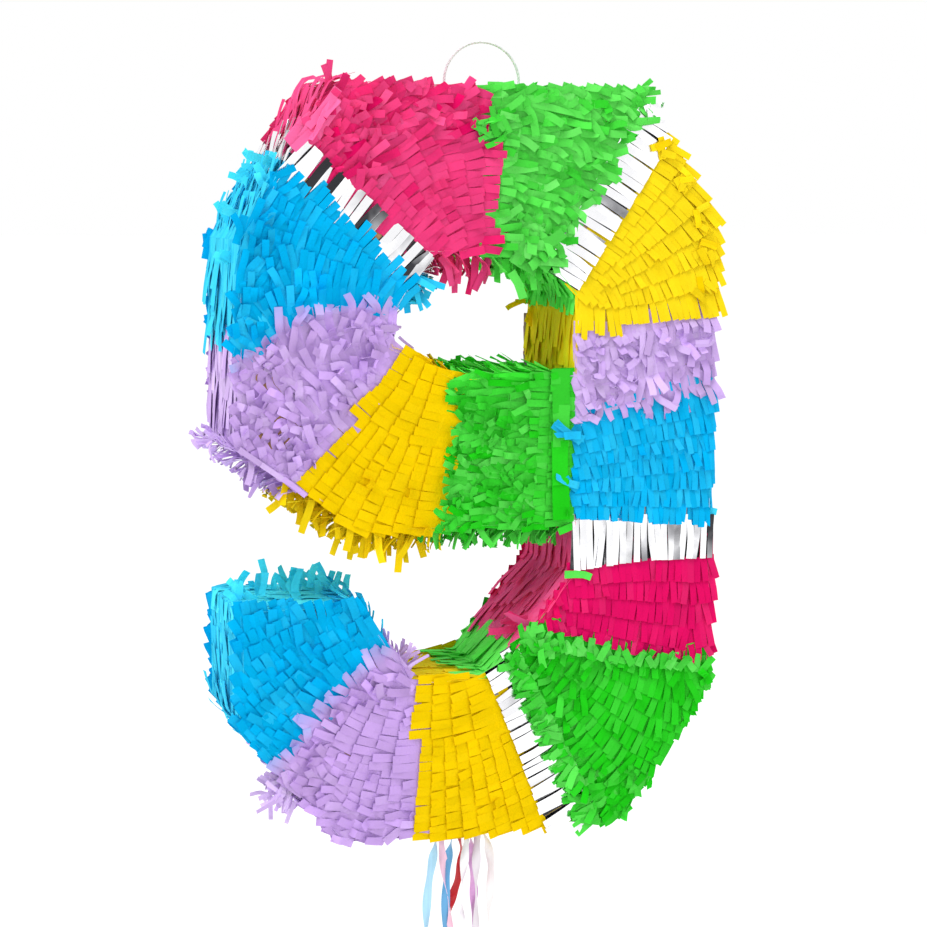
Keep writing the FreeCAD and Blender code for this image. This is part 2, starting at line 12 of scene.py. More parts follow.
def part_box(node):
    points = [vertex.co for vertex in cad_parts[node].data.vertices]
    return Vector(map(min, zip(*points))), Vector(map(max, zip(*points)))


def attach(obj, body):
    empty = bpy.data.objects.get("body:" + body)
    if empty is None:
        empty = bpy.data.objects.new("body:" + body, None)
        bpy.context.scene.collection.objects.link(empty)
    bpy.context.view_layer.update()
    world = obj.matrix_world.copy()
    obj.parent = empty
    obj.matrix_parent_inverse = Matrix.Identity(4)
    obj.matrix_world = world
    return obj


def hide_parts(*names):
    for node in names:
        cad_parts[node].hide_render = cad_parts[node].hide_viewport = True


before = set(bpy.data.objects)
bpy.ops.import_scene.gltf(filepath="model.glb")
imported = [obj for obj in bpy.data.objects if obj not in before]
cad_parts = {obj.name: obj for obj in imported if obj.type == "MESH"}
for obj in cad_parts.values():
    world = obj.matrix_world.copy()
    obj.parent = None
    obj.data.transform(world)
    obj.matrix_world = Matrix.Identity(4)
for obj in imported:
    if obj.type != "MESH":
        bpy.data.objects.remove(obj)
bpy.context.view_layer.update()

MM = 0.001
PAPER = 0.12
STRIP_GAP = 4.1
# How far strips may stand off the board of a face.
FACE_CAP = 7.4

# ---- the numeral's plan
# Corners of the numeral's outer edge and of its hole, in mm across from the middle and below the top.
OUTER = [
    (-85, 0), (90, 0), (139.7, 75), (139.7, 340.4), (85.5, 419.1), (-82.3, 419.1), (-139.7, 347.3),
    (-139.7, 281.3), (-70.9, 281.3), (-39.2, 326.1), (6.1, 326.1), (50.9, 271.2), (50.9, 246.5),
    (-68.5, 246.5), (-139.7, 196.5), (-139.7, 84),
]
HOLE = [
    (-29.1, 94.7), (-48.3, 125.4), (-50.5, 141.6), (-16.7, 157.7), (50.9, 157.7), (50.9, 117.5), (32.4, 94.7),
]

# Where one colour gives way to the next, from the stroke's inner edge to past its outer edge.
SEAMS = {
    "pink_green": [(8, 94.7), (6, 40), (4, -15)],
    "green_foil": [(41, 105), (93, 21), (108, -4)],
    "foil_yellow": [(50.9, 117.5), (106, 33), (120, 10)],
    "yellow_lavender": [(50.9, 141), (74, 141), (101, 138), (124, 132), (154.7, 125)],
    "lavender_blue": [(50.9, 192), (93, 183), (154.7, 168)],
    "blue_foil": [(50.9, 246.5), (154.7, 250.5)],
    "foil_pink": [(50.9, 271.2), (95, 267), (154.7, 267)],
    "pink_green_low": [(22, 306), (53, 314), (81, 322), (122, 331), (154.7, 325)],
    "green_foil_low": [(14, 316), (60, 406), (75, 434)],
    "foil_yellow_low": [(2, 326.1), (37, 414), (46, 434)],
    "yellow_lavender_low": [(-39.2, 326.1), (-41.5, 434)],
    "lavender_blue_low": [(-56, 302), (-86, 325), (-104, 346), (-131, 377), (-154.7, 402)],
    "arm_end": [(-70.9, 270), (-110, 270), (-154.7, 281.3)],
    "pink_foil": [(-29.1, 94.7), (-102, 31), (-125, 13)],
    "foil_blue": [(-36.8, 107), (-111, 43), (-130, 27)],
    "blue_lavender": [(-43.7, 118), (-77, 115), (-112, 124), (-139.7, 145), (-154.7, 152)],
    "lavender_yellow": [(-50.5, 141.6), (-64, 166), (-105, 213), (-125, 236)],
    "yellow_green": [(-16.7, 157.7), (-32, 246.5), (-34, 261.5)],
    "green_end": [(50.9, 157.7), (50.9, 246.5)],
}

PINK, GREEN, YELLOW, LAVENDER, BLUE, SILVER = "pink", "green", "yellow", "lavender", "blue", "silver"
# Paper colours as seen in daylight: body, and a paler one that is painted light, standing for light coming
# through the paper and falling on it strongly.
PAPER_COLOURS = {
    PINK: ((226, 14, 100), (252, 116, 176)),
    GREEN: ((34, 204, 26), (132, 242, 122)),
    YELLOW: ((243, 207, 0), (254, 238, 44)),
    LAVENDER: ((204, 168, 232), (234, 214, 250)),
    BLUE: ((0, 181, 237), (86, 240, 255)),
    SILVER: ((225, 225, 228), (250, 250, 250)),
}
# How much of the paler colour is painted on a wall: a painted highlight where light falls on the walls.
WALL_PAINTED_LIGHT = 0.5

# One colour section: its seams at the roots and at the tips, ruffle, row pitch, strip width, how much of
# the paler colour, painted light, its faces show, how far tips may stray past the outline, and calm spots.
Section = namedtuple("Section", "colour roots tips ruffle pitch width pale stray calm", defaults=[()])
SECTIONS = {
    "pink_top": Section(PINK, "pink_foil", "pink_green", 0.8, 8.4, 4.8, 0.24, 1.2, [(-30, 66, 46)]),
    "green_top": Section(GREEN, "pink_green", "green_foil", 0.9, 7.2, 4.4, 0.42, 1.5),
    "foil_top_right": Section(SILVER, "green_foil", "foil_yellow", 0, 16, 5.4, 0, 0.5),
    "yellow_upper_right": Section(YELLOW, "foil_yellow", "yellow_lavender", 0.05, 17, 3.7, 0.4, 2),
    "lavender_right": Section(LAVENDER, "yellow_lavender", "lavender_blue", 1, 7, 4.4, 0.3, 1.5),
    "blue_right": Section(BLUE, "lavender_blue", "blue_foil", 0.16, 12.5, 3.7, 0.08, 1),
    "foil_right": Section(SILVER, "blue_foil", "foil_pink", 0.1, 16, 4.2, 0, 0.5),
    "pink_right": Section(
        PINK, "foil_pink", "pink_green_low", 0.75, 12, 4, 0, 0.8, [(70, 280, 34), (112, 285, 46)]
    ),
    "green_lower_right": Section(
        GREEN, "pink_green_low", "green_foil_low", 0.8, 7.6, 4.2, 0.06, 0.4, [(92, 352, 40)]
    ),
    "foil_bottom": Section(SILVER, "green_foil_low", "foil_yellow_low", 0.05, 16, 5, 0, 1.5),
    "yellow_bottom": Section(YELLOW, "foil_yellow_low", "yellow_lavender_low", 0.06, 11, 5, 0, 0.4),
    "lavender_lower_left": Section(
        LAVENDER, "yellow_lavender_low", "lavender_blue_low", 0.5, 10.5, 4.8, 0, 1, [(-52, 370, 34)]
    ),
    "blue_arm": Section(BLUE, "lavender_blue_low", "arm_end", 0.22, 10.5, 5, 0, 3),
    "green_middle": Section(
        GREEN, "green_end", "yellow_green", 0.9, 8, 4, 0.18, 3, [(46, 165 + 18 * k, 15) for k in range(5)]
    ),
    "yellow_middle": Section(YELLOW, "yellow_green", "lavender_yellow", 0.04, 12, 5, 0, 3),
    "lavender_left": Section(LAVENDER, "lavender_yellow", "blue_lavender", 1, 7.4, 4.7, 0.12, 4),
    "blue_upper_left": Section(BLUE, "blue_lavender", "foil_blue", 0.5, 10, 4.3, 0, 5, [(-74, 78, 44)]),
    "foil_top_left": Section(SILVER, "foil_blue", "pink_foil", 0.05, 16, 5.2, 0, 3),
}
# Foil: shares of fingers missing, painted dark and painted grey as painted reflections, and how far they
# swing, in degrees.
FOILS = {
    "foil_top_right": (0, 0, 0.1, 1.2),
    "foil_right": (0, 0.12, 0.6, 4),
    "foil_bottom": (0.02, 0.05, 0.15, 2),
    "foil_top_left": (0.1, 0.14, 0.2, 5),
}
# The colour that shows through the last row's tips.
NEXT = {"lavender_left": BLUE, "lavender_lower_left": BLUE}
# The sections beside the middle bar, whose strips keep to their own side of its end.
BESIDE_BAR = ("lavender_right", "blue_right", "foil_right", "pink_right")
BAR_END, BAR_HIGH, BAR_LOW = 50.9, 157.7, 246.5
# Where the board shows through the lavender. A spot is across, below, radius.
BARE_SPOTS = [(-124, 160, 10), (-114, 188, 13)]



def skin_node(name):
    """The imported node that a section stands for."""
    return name if name.startswith("foil_") else "tissue_" + name


skin_boxes = [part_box(skin_node(name)) for name in SECTIONS]
MIDDLE = (min(low.x for low, _ in skin_boxes) / MM + max(high.x for _, high in skin_boxes) / MM) / 2
TOP = max(high.z for _, high in skin_boxes) / MM
FRONT = min(low.y for low, _ in skin_boxes) / MM
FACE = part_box("front_panel")[0].y / MM
FRINGE = FACE - FRONT


def box_mm(name):
    """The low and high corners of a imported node's box, in mm."""
    return [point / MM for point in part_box(name)]


def linear(rgb):
    """A 0-255 screen colour as linear light."""
    c = np.asarray(rgb, float) / 255
    return np.where(c <= 0.04045, c / 12.92, ((c + 0.055) / 1.055) ** 2.4)


def unit(vectors):
    """The vectors at length 1."""
    return vectors / np.maximum(np.linalg.norm(vectors, axis=-1, keepdims=True), 1e-6)


def to_row(plan):
    """(across, below) points as (x, z) in mm of the row frame."""
    plan = np.asarray(plan, float)
    return np.stack([MIDDLE + plan[..., 0], TOP - plan[..., 1]], -1)


def turn_sign(points):
    """1 for a polygon that turns from its first axis towards its second, -1 for the other way."""
    after = np.roll(points, -1, 0)
    return np.sign(np.sum(points[:, 0] * after[:, 1] - after[:, 0] * points[:, 1]))


def inset(corners, distance):
    """The polygon's corners moved inward by distance, each along its own mitre."""
    pts = np.array(corners, float)
    ahead = unit(np.roll(pts, -1, 0) - pts)
    inward = np.stack([-ahead[:, 1], ahead[:, 0]], 1) * turn_sign(pts)
    before = np.roll(inward, 1, 0)
    mitre = (before + inward) / (1 + np.sum(before * inward, 1))[:, None]
    return pts + mitre * distance


def inside(points, polygon):
    """Which points lie inside the polygon."""
    x, y = points[..., 0], points[..., 1]
    hit = np.zeros(x.shape, bool)
    for (x0, y0), (x1, y1) in zip(polygon, np.roll(polygon, -1, 0)):
        if y0 != y1:
            hit ^= ((y0 > y) != (y1 > y)) & (x < (x1 - x0) * (y - y0) / (y1 - y0) + x0)
    return hit


BOARD_OUTER = inset(OUTER, FRINGE)
BOARD_HOLE = inset(HOLE, -FRINGE)
# The faces' fringe starts a little inside the outline, out over the walls' fringe.
FACE_MARGIN = 0.9
FACE_OUTER = inset(OUTER, FACE_MARGIN)
FACE_HOLE = inset(HOLE, -FACE_MARGIN)


def on_face(points):
    return inside(points, FACE_OUTER) & ~inside(points, FACE_HOLE)


def beyond_edge(points, inward):
    """How far outside the outline, itself moved inward this much, each point is, in mm; 0 on the inside."""
    outer, hole = inset(OUTER, inward), inset(HOLE, -inward)
    nearest = np.full(points.shape[:-1], 1e9)
    for polygon in (outer, hole):
        for a, b in zip(polygon, np.roll(polygon, -1, 0)):
            run = b - a
            t = np.clip(((points - a) @ run) / (run @ run), 0, 1)
            nearest = np.minimum(nearest, np.linalg.norm(points - (a + t[..., None] * run), axis=-1))
    return np.where(inside(points, outer) & ~inside(points, hole), 0, nearest)


def distances(line):
    """How far along the line each of its points is."""
    return np.concatenate([[0], np.cumsum(np.linalg.norm(np.diff(line, axis=0), axis=1))])


def between(want, at, values):
    """The pairs of values found at these distances, from those known at others."""
    return np.stack([np.interp(want, at, values[:, k]) for k in (0, 1)], -1)


def seam_points(name, share):
    """Points along a seam at these shares of its length; shares under 0 and over 1 run straight on."""
    line = np.array(SEAMS[name], float)
    at = distances(line)
    want = share * at[-1]
    found = between(want, at, line)
    found += np.minimum(want, 0)[:, None] * unit(line[1] - line[0])
    return found + np.maximum(want - at[-1], 0)[:, None] * unit(line[-1] - line[-2])


# ---- paper strips

RINGS_PER_STRIP = 8
# A ring is three points across on the outer side, and the same on the inner side.
RING = 6


def strip_faces(rings):
    """The quads of one closed strip."""

    def v(ring, side, across):
        return ring * RING + side * 3 + across

    faces = []
    for r in range(rings - 1):
        for c in (0, 1):
            faces.append((v(r, 0, c), v(r + 1, 0, c), v(r + 1, 0, c + 1), v(r, 0, c + 1)))
            faces.append((v(r, 1, c), v(r, 1, c + 1), v(r + 1, 1, c + 1), v(r + 1, 1, c)))
        faces.append((v(r, 0, 0), v(r, 1, 0), v(r + 1, 1, 0), v(r + 1, 0, 0)))
        faces.append((v(r, 0, 2), v(r + 1, 0, 2), v(r + 1, 1, 2), v(r, 1, 2)))
    end = rings - 1
    for c in (0, 1):
        faces.append((v(0, 0, c), v(0, 0, c + 1), v(0, 1, c + 1), v(0, 1, c)))
        faces.append((v(end, 0, c), v(end, 1, c), v(end, 1, c + 1), v(end, 0, c + 1)))
    return np.array(faces)


FACES = strip_faces(RINGS_PER_STRIP)


def strips(rng, header, free, width, lift, curl, yaw, sweep, twist, base, cap):
    """Strips in their own mm: along the flow, across it, and up from the board. Each argument but cap is one
    number a strip. A strip has a flat header behind its root and a free end that lifts, curls, swings and
    twists by these degrees, and stays under cap mm from the board."""
    count, segments = len(free), RINGS_PER_STRIP - 2
    share = (np.arange(segments) + 0.5) / segments
    fold_at = rng.uniform(0.15, 0.75, count)[:, None]
    bend = 0.3 * share**1.3 + 0.7 / (1 + np.exp(-30 * (share - fold_at)))
    up = np.radians(lift[:, None] + curl[:, None] * bend)
    side = np.radians(yaw[:, None] * np.minimum(1, share * 3) + sweep[:, None] * bend)
    ahead = np.stack([np.cos(up) * np.cos(side), np.cos(up) * np.sin(side), np.sin(up)], -1)
    run = np.cumsum(ahead * (free / segments)[:, None, None], 1)
    run = np.concatenate([np.zeros((count, 1, 3)), run], 1)
    run[..., 2] += base[:, None]
    start = np.stack([-header, np.zeros(count), base * 0.4], -1)[:, None]
    line = np.concatenate([start, run], 1)
    line[..., 2] = np.maximum(line[..., 2], 0.25 + 0.3 * base[:, None])
    line[..., 2] /= (1 + (line[..., 2] / cap) ** 3) ** (1 / 3)
    tangent = unit(np.gradient(line, axis=1))
    flat = unit(np.stack([-tangent[..., 1], tangent[..., 0], np.zeros(tangent.shape[:-1])], -1))
    rise = np.cross(tangent, flat)
    along = np.concatenate([[0, 0], (np.arange(segments) + 1) / segments])
    roll = np.radians(twist[:, None] * along**1.2)[..., None]
    across = flat * np.cos(roll) + rise * np.sin(roll)
    normal = rise * np.cos(roll) - flat * np.sin(roll)
    wide = (width[:, None] * np.where(along > 0, 1, 1.06))[..., None]
    cup = (rng.normal(0, 0.07, count) * np.clip(np.abs(curl) / 15, 0.08, 1))[:, None, None] * wide
    rows = [line + across * wide * k + (normal * cup if k == 0 else 0) for k in (-0.5, 0.0, 0.5)]
    top = np.stack(rows, 2)
    return np.stack([top, top - normal[:, :, None] * PAPER], 2)


def lay_flat(local, root, flow, up):
    """Strips on a flat face: along goes with flow, up with the face's normal."""
    axes = (flow, np.cross(up, flow), up)
    steps = (local[..., k : k + 1] * axes[k][:, None, None, None] for k in range(3))
    return sum(steps, root[:, None, None, None])


def face_frame(plan, flow, y, outward):
    """Roots, flow and normals in the row frame, on the front (outward -1) or the back (outward 1)."""
    xz, level = to_row(plan), np.zeros(len(plan))
    root = np.stack([xz[:, 0], y + level, xz[:, 1]], 1)
    return root, np.stack([flow[:, 0], level, -flow[:, 1]], 1), np.tile([0.0, outward, 0.0], (len(plan), 1))


def add_object(name, data):
    made = bpy.data.objects.new(name, data)
    bpy.context.scene.collection.objects.link(made)
    return made


class Pile:
    """Strips gathered for one piece, with the paint of each."""

    def __init__(self):
        self.points, self.paint, self.gleam = [], [], []

    def add(self, points, paint, gleam):
        """points: strips x rings x 2 x 3 x 3; paint: strips x rings x 3; painted reflection level: strips x
        rings.
        """
        self.points.append(points)
        self.paint.append(np.broadcast_to(paint[:, :, None, None, :], points.shape[:4] + (3,)))
        self.gleam.append(np.broadcast_to(gleam[:, :, None, None], points.shape[:4]))

    def build(self, name, material):
        points = np.concatenate([p.reshape(-1, 3) for p in self.points]) * MM
        paint = np.concatenate([p.reshape(-1, 3) for p in self.paint])
        gleam = np.concatenate([g.ravel() for g in self.gleam])
        firsts = np.arange(0, len(points), RINGS_PER_STRIP * RING)
        faces = (FACES[None] + firsts[:, None, None]).reshape(-1, 4)
        mesh = bpy.data.meshes.new(name)
        mesh.vertices.add(len(points))
        mesh.vertices.foreach_set("co", points.astype(np.float32).ravel())
        mesh.loops.add(faces.size)
        mesh.loops.foreach_set("vertex_index", faces.astype(np.int32).ravel())
        mesh.polygons.add(len(faces))
        mesh.polygons.foreach_set("loop_start", np.arange(0, faces.size, 4, dtype=np.int32))
        mesh.polygons.foreach_set("use_smooth", np.ones(len(faces), bool))
        mesh.update(calc_edges=True)
        colours = mesh.attributes.new("paint", "FLOAT_COLOR", "POINT")
        colours.data.foreach_set("color", np.c_[paint, np.ones(len(paint))].astype(np.float32).ravel())
        painted_reflection_data = mesh.attributes.new("gleam", "FLOAT", "POINT")
        painted_reflection_data.data.foreach_set("value", gleam.astype(np.float32))
        mesh.set_sharp_from_angle(angle=math.radians(30))
        mesh.validate()
        mesh.materials.append(material)
        return add_object(name, mesh)


# ---- materials


class Finish:
    """A material in the making, round its Principled node."""

    def __init__(self, name):
        self.material = bpy.data.materials.new(name)
        self.material.use_nodes = True
        self.tree = self.material.node_tree
        self.main = self.tree.nodes["Principled BSDF"]

    def fill(self, made, *first, **named):
        """Fill a node's inputs, the first ones in order and others by name, with values, sockets or the first
        outputs of other nodes. Names in lower case are the node's own settings."""
        for key, value in [*enumerate(first), *named.items()]:
            if str(key).islower():
                setattr(made, key, value)
                continue
            target = made.inputs[key.replace("_", " ") if isinstance(key, str) else key]
            source = value.outputs[0] if isinstance(value, bpy.types.Node) else value
            if isinstance(source, bpy.types.NodeSocket):
                self.tree.links.new(source, target)
            else:
                target.default_value = value
        return made

    def node(self, kind, *first, **named):
        return self.fill(self.tree.nodes.new("ShaderNode" + kind), *first, **named)

    def noise(self, scale, detail, stretch=None, **named):
        """A noise texture over the object's own coordinates, stretched if asked."""
        place = self.node("TexCoord").outputs["Object"]
        if stretch:
            place = self.node("Mapping", place, Scale=stretch)
        return self.node("TexNoise", Vector=place, Scale=scale, Detail=detail, **named)

    def ramp(self, value, *stops):
        """The colour between these (place, linear colour) stops."""
        made = self.node("ValToRGB", value)
        elements = made.color_ramp.elements
        for _ in stops[2:]:
            elements.new(0.5)
        for element, (place, colour) in zip(elements, stops):
            element.position = place
            element.color = (*colour, 1)
        return made

    def bump(self, height, strength, distance):
        return self.node("Bump", Strength=strength, Distance=distance, Height=height)

    def done(self, colour, roughness, bump, **named):
        self.fill(self.main, Base_Color=colour, Roughness=roughness, Normal=bump, **named)
        return self.material


def tissue_material(name):
    """Crumpled paper in each strip's own paint, which lets some light through."""
    finish = Finish(name)
    cloud = finish.node("MapRange", finish.noise(60, 2), To_Min=0.88, To_Max=1.1)
    paint = finish.node("Attribute", attribute_name="paint")
    tone = finish.node("VectorMath", paint, operation="SCALE", Scale=cloud)
    crumple = finish.noise(260, 3, Distortion=1.2)
    height = finish.node("Math", finish.noise(900, 4), 0.3, crumple, operation="MULTIPLY_ADD")
    bump = finish.bump(height, 0.45, 0.0009)
    through = finish.node("BsdfTranslucent", Color=tone, Normal=bump)
    both = finish.node("MixShader", 0.22, finish.main, through)
    finish.fill(finish.tree.nodes["Material Output"], Surface=both)
    return finish.done(tone, 0.75, bump, Specular_IOR_Level=0.03)


def foil_material(name):
    """Creased foil with painted reflections. Each strip's painted reflection level sets how light its colour
    is, and the creases carry that along it.
    """
    finish = Finish(name)
    gleam = finish.node("Attribute", attribute_name="gleam").outputs["Fac"]
    # Painted reflection: the foil's colour runs dark, grey and light with its painted reflection level.
    sway = finish.node("Math", finish.noise(55, 2), 0.6, -0.3, operation="MULTIPLY_ADD")
    painted_mirror_level = finish.node("Math", gleam, sway, operation="ADD")
    tone = finish.ramp(
        painted_mirror_level, (0.16, (0.04, 0.04, 0.045)), (0.36, (0.42, 0.42, 0.44)), (0.52, (0.93, 0.93, 0.95))
    )
    return finish.done(tone, 0.22, finish.bump(finish.noise(240, 2), 0.3, 0.0006), Metallic=1.0)


def board_material(name):
    """Kraft board with a grain and faint flutes."""
    finish = Finish(name)
    grain = finish.noise(300, 4, (1, 1, 0.15))
    tone = finish.ramp(grain, (0, linear((150, 108, 70))), (1, linear((196, 152, 108))))
    place = finish.node("TexCoord").outputs["Object"]
    flute = finish.node("TexWave", Vector=place, Scale=60, Distortion=1.0).outputs["Fac"]
    return finish.done(tone, 0.85, finish.bump(flute, 0.15, 0.0005))


def fibrous_material(name, dark, pale, noise, rough=0.6, relief=0.0002, spread=(0.3, 0.7)):
    """A woven or ribbed finish that runs between two linear colours over this spread of its noise."""
    finish = Finish(name)
    weave = finish.noise(*noise)
    return finish.done(finish.ramp(weave, *zip(spread, (dark, pale))), rough, finish.bump(weave, 0.3, relief))


TISSUE = tissue_material("tissue_paper")
FOIL = foil_material("foil_paper")
BOARD = board_material("kraft_board")
TAPE = fibrous_material("paper_tape", linear((186, 160, 122)), linear((206, 182, 146)), (400, 3))

# ---- fringe on the two faces


def spot_reach(points, across, below, radius):
    """How far each point is from a spot's middle, in radii of the spot."""
    return np.linalg.norm(points - np.array([across, below]), axis=1) / radius


def in_spots(points, spots):
    """Which points lie within any of the spots."""
    return np.any([spot_reach(points, *spot) < 1 for spot in spots], axis=0)


def in_box(points, box):
    """Which points lie in a box (across from, to, below from, to)."""
    across, below = points.T
    return (across > box[0]) & (across < box[1]) & (below > box[2]) & (below < box[3])


def face_roots(rng, section):
    """Roots of one section's strips on a face: places, flow, row pitch there, way left to the next seam, and
    how many rows come after."""
    lead, reach = 2.5, section.pitch * 1.15
    share = np.linspace(-0.08, 1.3, 300)
    a, b = seam_points(section.roots, share), seam_points(section.tips, share)
    apart = np.linalg.norm(b - a, axis=1)
    room = np.maximum(apart - reach + lead, 0.5)
    silver = section.colour == SILVER
    widest = np.max(apart[(share > 0) & (share < 0.95)]) - reach + lead
    rows = 1 if silver else max(2, int(round(widest / section.pitch)) + 1)
    found = []
    for j in range(rows):
        go = np.full(len(share), -5.0) if silver else -lead + j / (rows - 1) * room
        local = np.full(len(share), 16.0) if silver else room / (rows - 1)
        line = a + (b - a) / np.maximum(apart, 1e-3)[:, None] * go[:, None]
        length = distances(line)
        gap = section.width * 0.98
        at = np.arange(rng.uniform(0, gap), length[-1], gap)
        at = at + rng.normal(0, 0.25, len(at))
        tangent = unit(between(at, length, np.gradient(line, axis=0)))
        flow = np.stack([-tangent[:, 1], tangent[:, 0]], 1)
        flow *= np.sign(np.sum(flow * between(at, length, b - a), 1))[:, None]
        near = np.interp(at, length, local)
        left = np.interp(at, length, apart - go)
        # Where the seams draw together, only every second, fourth or eighth row goes on.
        power = 2 ** np.ceil(np.log2(np.maximum(1, 6.5 / near)))
        after = np.full(len(at), rows - 1 - j)
        keep = after % power == 0
        found.append(np.c_[between(at, length, line), flow, near * power, left, after][keep])
    found = np.concatenate(found)
    return found[:, :2], found[:, 2:4], *found[:, 4:].T


def shades(rng, colour, count, pale=0.0, variety=1.0, tip_colour=None, tip_share=None):
    """Paint for strips: the colour's body with a little variety, paler by pale, which mixes in painted light,
    and the next colour showing through the tips by tip_share."""
    body, light = (linear(c) for c in PAPER_COLOURS[colour])
    mix = np.clip(rng.normal(0.03, 1, count) * (0.02 + 0.1 * variety) + pale, 0, 1)[:, None]
    base = body * (1 - mix) + light * mix
    base = base * np.exp(rng.normal(0, 1, count) * (0.015 + 0.055 * variety))[:, None]
    paint = np.repeat(base[:, None], RINGS_PER_STRIP, 1)
    if tip_colour is not None:
        ring = np.linspace(0, 1, RINGS_PER_STRIP)[None, :, None] ** 1.5
        share = tip_share[:, None, None] * ring
        paint = paint * (1 - share) + linear(PAPER_COLOURS[tip_colour][0]) * share
    return paint


def gleams(rng, count, dark=0.1, grey=0.25):
    """Painted reflections of foil: how light each strip's colour is painted along its length, as if it
    mirrored the room: light, or at times grey or dark.
    """
    pick = rng.uniform(0, 1, count)
    level = rng.uniform(0.6, 1.0, count)
    level = np.where(pick < dark + grey, rng.uniform(0.36, 0.52, count), level)
    level = np.where(pick < dark, rng.uniform(0.0, 0.28, count), level)
    return level[:, None] + rng.normal(0, 0.09, count)[:, None] * np.linspace(-1, 1, RINGS_PER_STRIP)


def foil_shape(rng, count, left, swing):
    """Header, free length, lift, curl, yaw, sweep and twist of a foil row, which reaches to the next seam."""
    free = left + rng.normal(0, 0.12, count)
    lift, curl = rng.normal(9, 0.6, count), rng.normal(-9, 1.5, count)
    yaw, sweep = rng.normal(0, swing, count), rng.normal(0, swing, count)
    return np.full(count, 3.0), free, lift, curl, yaw, sweep, rng.normal(0, 2 + 3 * swing, count)


def tissue_shape(rng, count, name, place, near, after, rough, untidy):
    """The same seven for tissue, by how rough it is at each root."""
    stretch = 1.24 + 0.06 * untidy + (0.01 + 0.12 * rough) * rng.normal(0, 1, count)
    free = np.clip(near * stretch * (1 - 0.12 * rough), 7.5, 24)
    header = np.minimum(near + 1, 12)
    # The last rows of two sections end where the real ones do.
    if name == "pink_right":
        free = np.where(after == 0, free * 0.72, free)
    if name == "yellow_upper_right":
        free = np.where(after == 0, free + np.clip((110 - place[:, 0]) * 0.12, 1.5, 6), free)
    if name == "green_middle":
        header = np.minimum(header, np.maximum(BAR_END + 1.5 - place[:, 0], 0.3))
    if name == "lavender_left":
        header = np.where(in_spots(place, BARE_SPOTS), 2.0, header)
    lift = 7.5 + 5 * untidy + rough * np.abs(rng.normal(18, 14, count)) + rng.normal(0, 0.1 + untidy, count)
    curl = -2 - 14 * untidy - rough * rng.normal(28, 34, count)
    wild = rng.uniform(0, 1, count) < 0.2 * rough
    curl = np.where(wild, rng.uniform(20, 70, count), curl)
    yaw, sweep = rng.normal(0, 0.6 + 36 * rough), rng.normal(0, 0.8 + 9 * rough)
    return header, free, lift, curl, yaw, sweep, rng.normal(0, 1.0 + 24 * rough)


def face_fringe(rng, name, y_face, outward, keep_out=(0, 0, 0, 0)):
    """One section's strips on the front (outward -1) or the back (outward 1), clear of the keep_out box."""
    section = SECTIONS[name]
    silver = section.colour == SILVER
    place, flow, near, left, after = face_roots(rng, section)
    count = len(place)
    rough = np.full(count, float(section.ruffle))
    for spot in section.calm:
        rough *= 0.15 + 0.85 * np.clip((spot_reach(place, *spot) - 0.6) / 0.5, 0, 1)
    untidy = np.minimum(1, rough * 2.5)
    # Foil fingers are painted dark and grey by these shares, as painted reflections.
    missing, dark, grey, swing = FOILS.get(name, (0, 0, 0, 0))
    if silver:
        shape = foil_shape(rng, count, left, swing)
    else:
        shape = tissue_shape(rng, count, name, place, near, after, rough, untidy)
    header, free, lift, curl, yaw, sweep, twist = shape
    if name in BESIDE_BAR:
        rightward = np.sign(-outward * flow[:, 1])
        close = place[:, 0] < BAR_END + 14
        yaw = np.where(close, np.abs(yaw) * rightward, yaw)
        sweep = np.where(close, np.abs(sweep) * rightward, sweep)
    base = 0.3 + (0.06 + 0.2 * untidy) * rng.uniform(0, 1, count)
    for back in np.arange(1.0, 13.0, 1.0):
        off = ~on_face(place - flow * back) & (header > back - 1)
        header = np.where(off, np.maximum(back - 1.5, 0.3), header)
    # Strips are trimmed where they would stray past the outline.
    limit, inward = (section.stray, 0) if outward < 0 else (0.05, 2.6)
    for _ in range(18):
        tip = place + flow * (free * 0.95)[:, None]
        free = np.where((beyond_edge(tip, inward) > limit) | in_box(tip, keep_out), free * 0.9, free)
    keep = on_face(place) & ~in_box(place, keep_out) & (free > 1.6) & (rng.uniform(0, 1, count) >= missing)
    if name in BESIDE_BAR:
        keep &= (place[:, 0] > BAR_END + 1) | (place[:, 1] > BAR_LOW + 6)
    if name == "green_middle":
        keep &= (place[:, 1] > BAR_HIGH) & (place[:, 1] < BAR_LOW)
    place, flow, header, free, after, untidy = (v[keep] for v in (place, flow, header, free, after, untidy))
    bends = [v[keep] for v in (lift, curl, yaw, sweep, twist, base)]
    count = len(place)
    where = face_frame(place, flow, y_face, outward)
    # A calm under layer, so that the board doesn't show between the fingers. Under foil it is painted mostly
    # dark and grey: painted shade between the fingers.
    under = ~in_spots(place, BARE_SPOTS)
    flat = [np.full(count, value) for value in (section.width * 1.01, 2.0, -2.0, 0.0, 0.0, 0.0, 0.12)]
    calm = strips(rng, header, free * (0.97 if silver else 0.84), *flat, FACE_CAP)
    paint = shades(rng, section.colour, count, section.pale, 0.2)
    PILES[name].add(lay_flat(calm, *where)[under], paint[under], gleams(rng, count, 0.8, 0.2)[under])
    slim = rng.uniform(0.84, 0.96, count) if silver else 1.0 - 0.12 * untidy * rng.uniform(0, 1, count)
    local = strips(rng, header, free, section.width * slim, *bends, FACE_CAP)
    beyond = np.where((after == 0) & (name in NEXT), 0.35, 0.0)
    paint = shades(rng, section.colour, count, section.pale, untidy, NEXT.get(name, section.colour), beyond)
    PILES[name].add(lay_flat(local, *where), paint, gleams(rng, count, dark, grey))


# ---- fringe on the walls


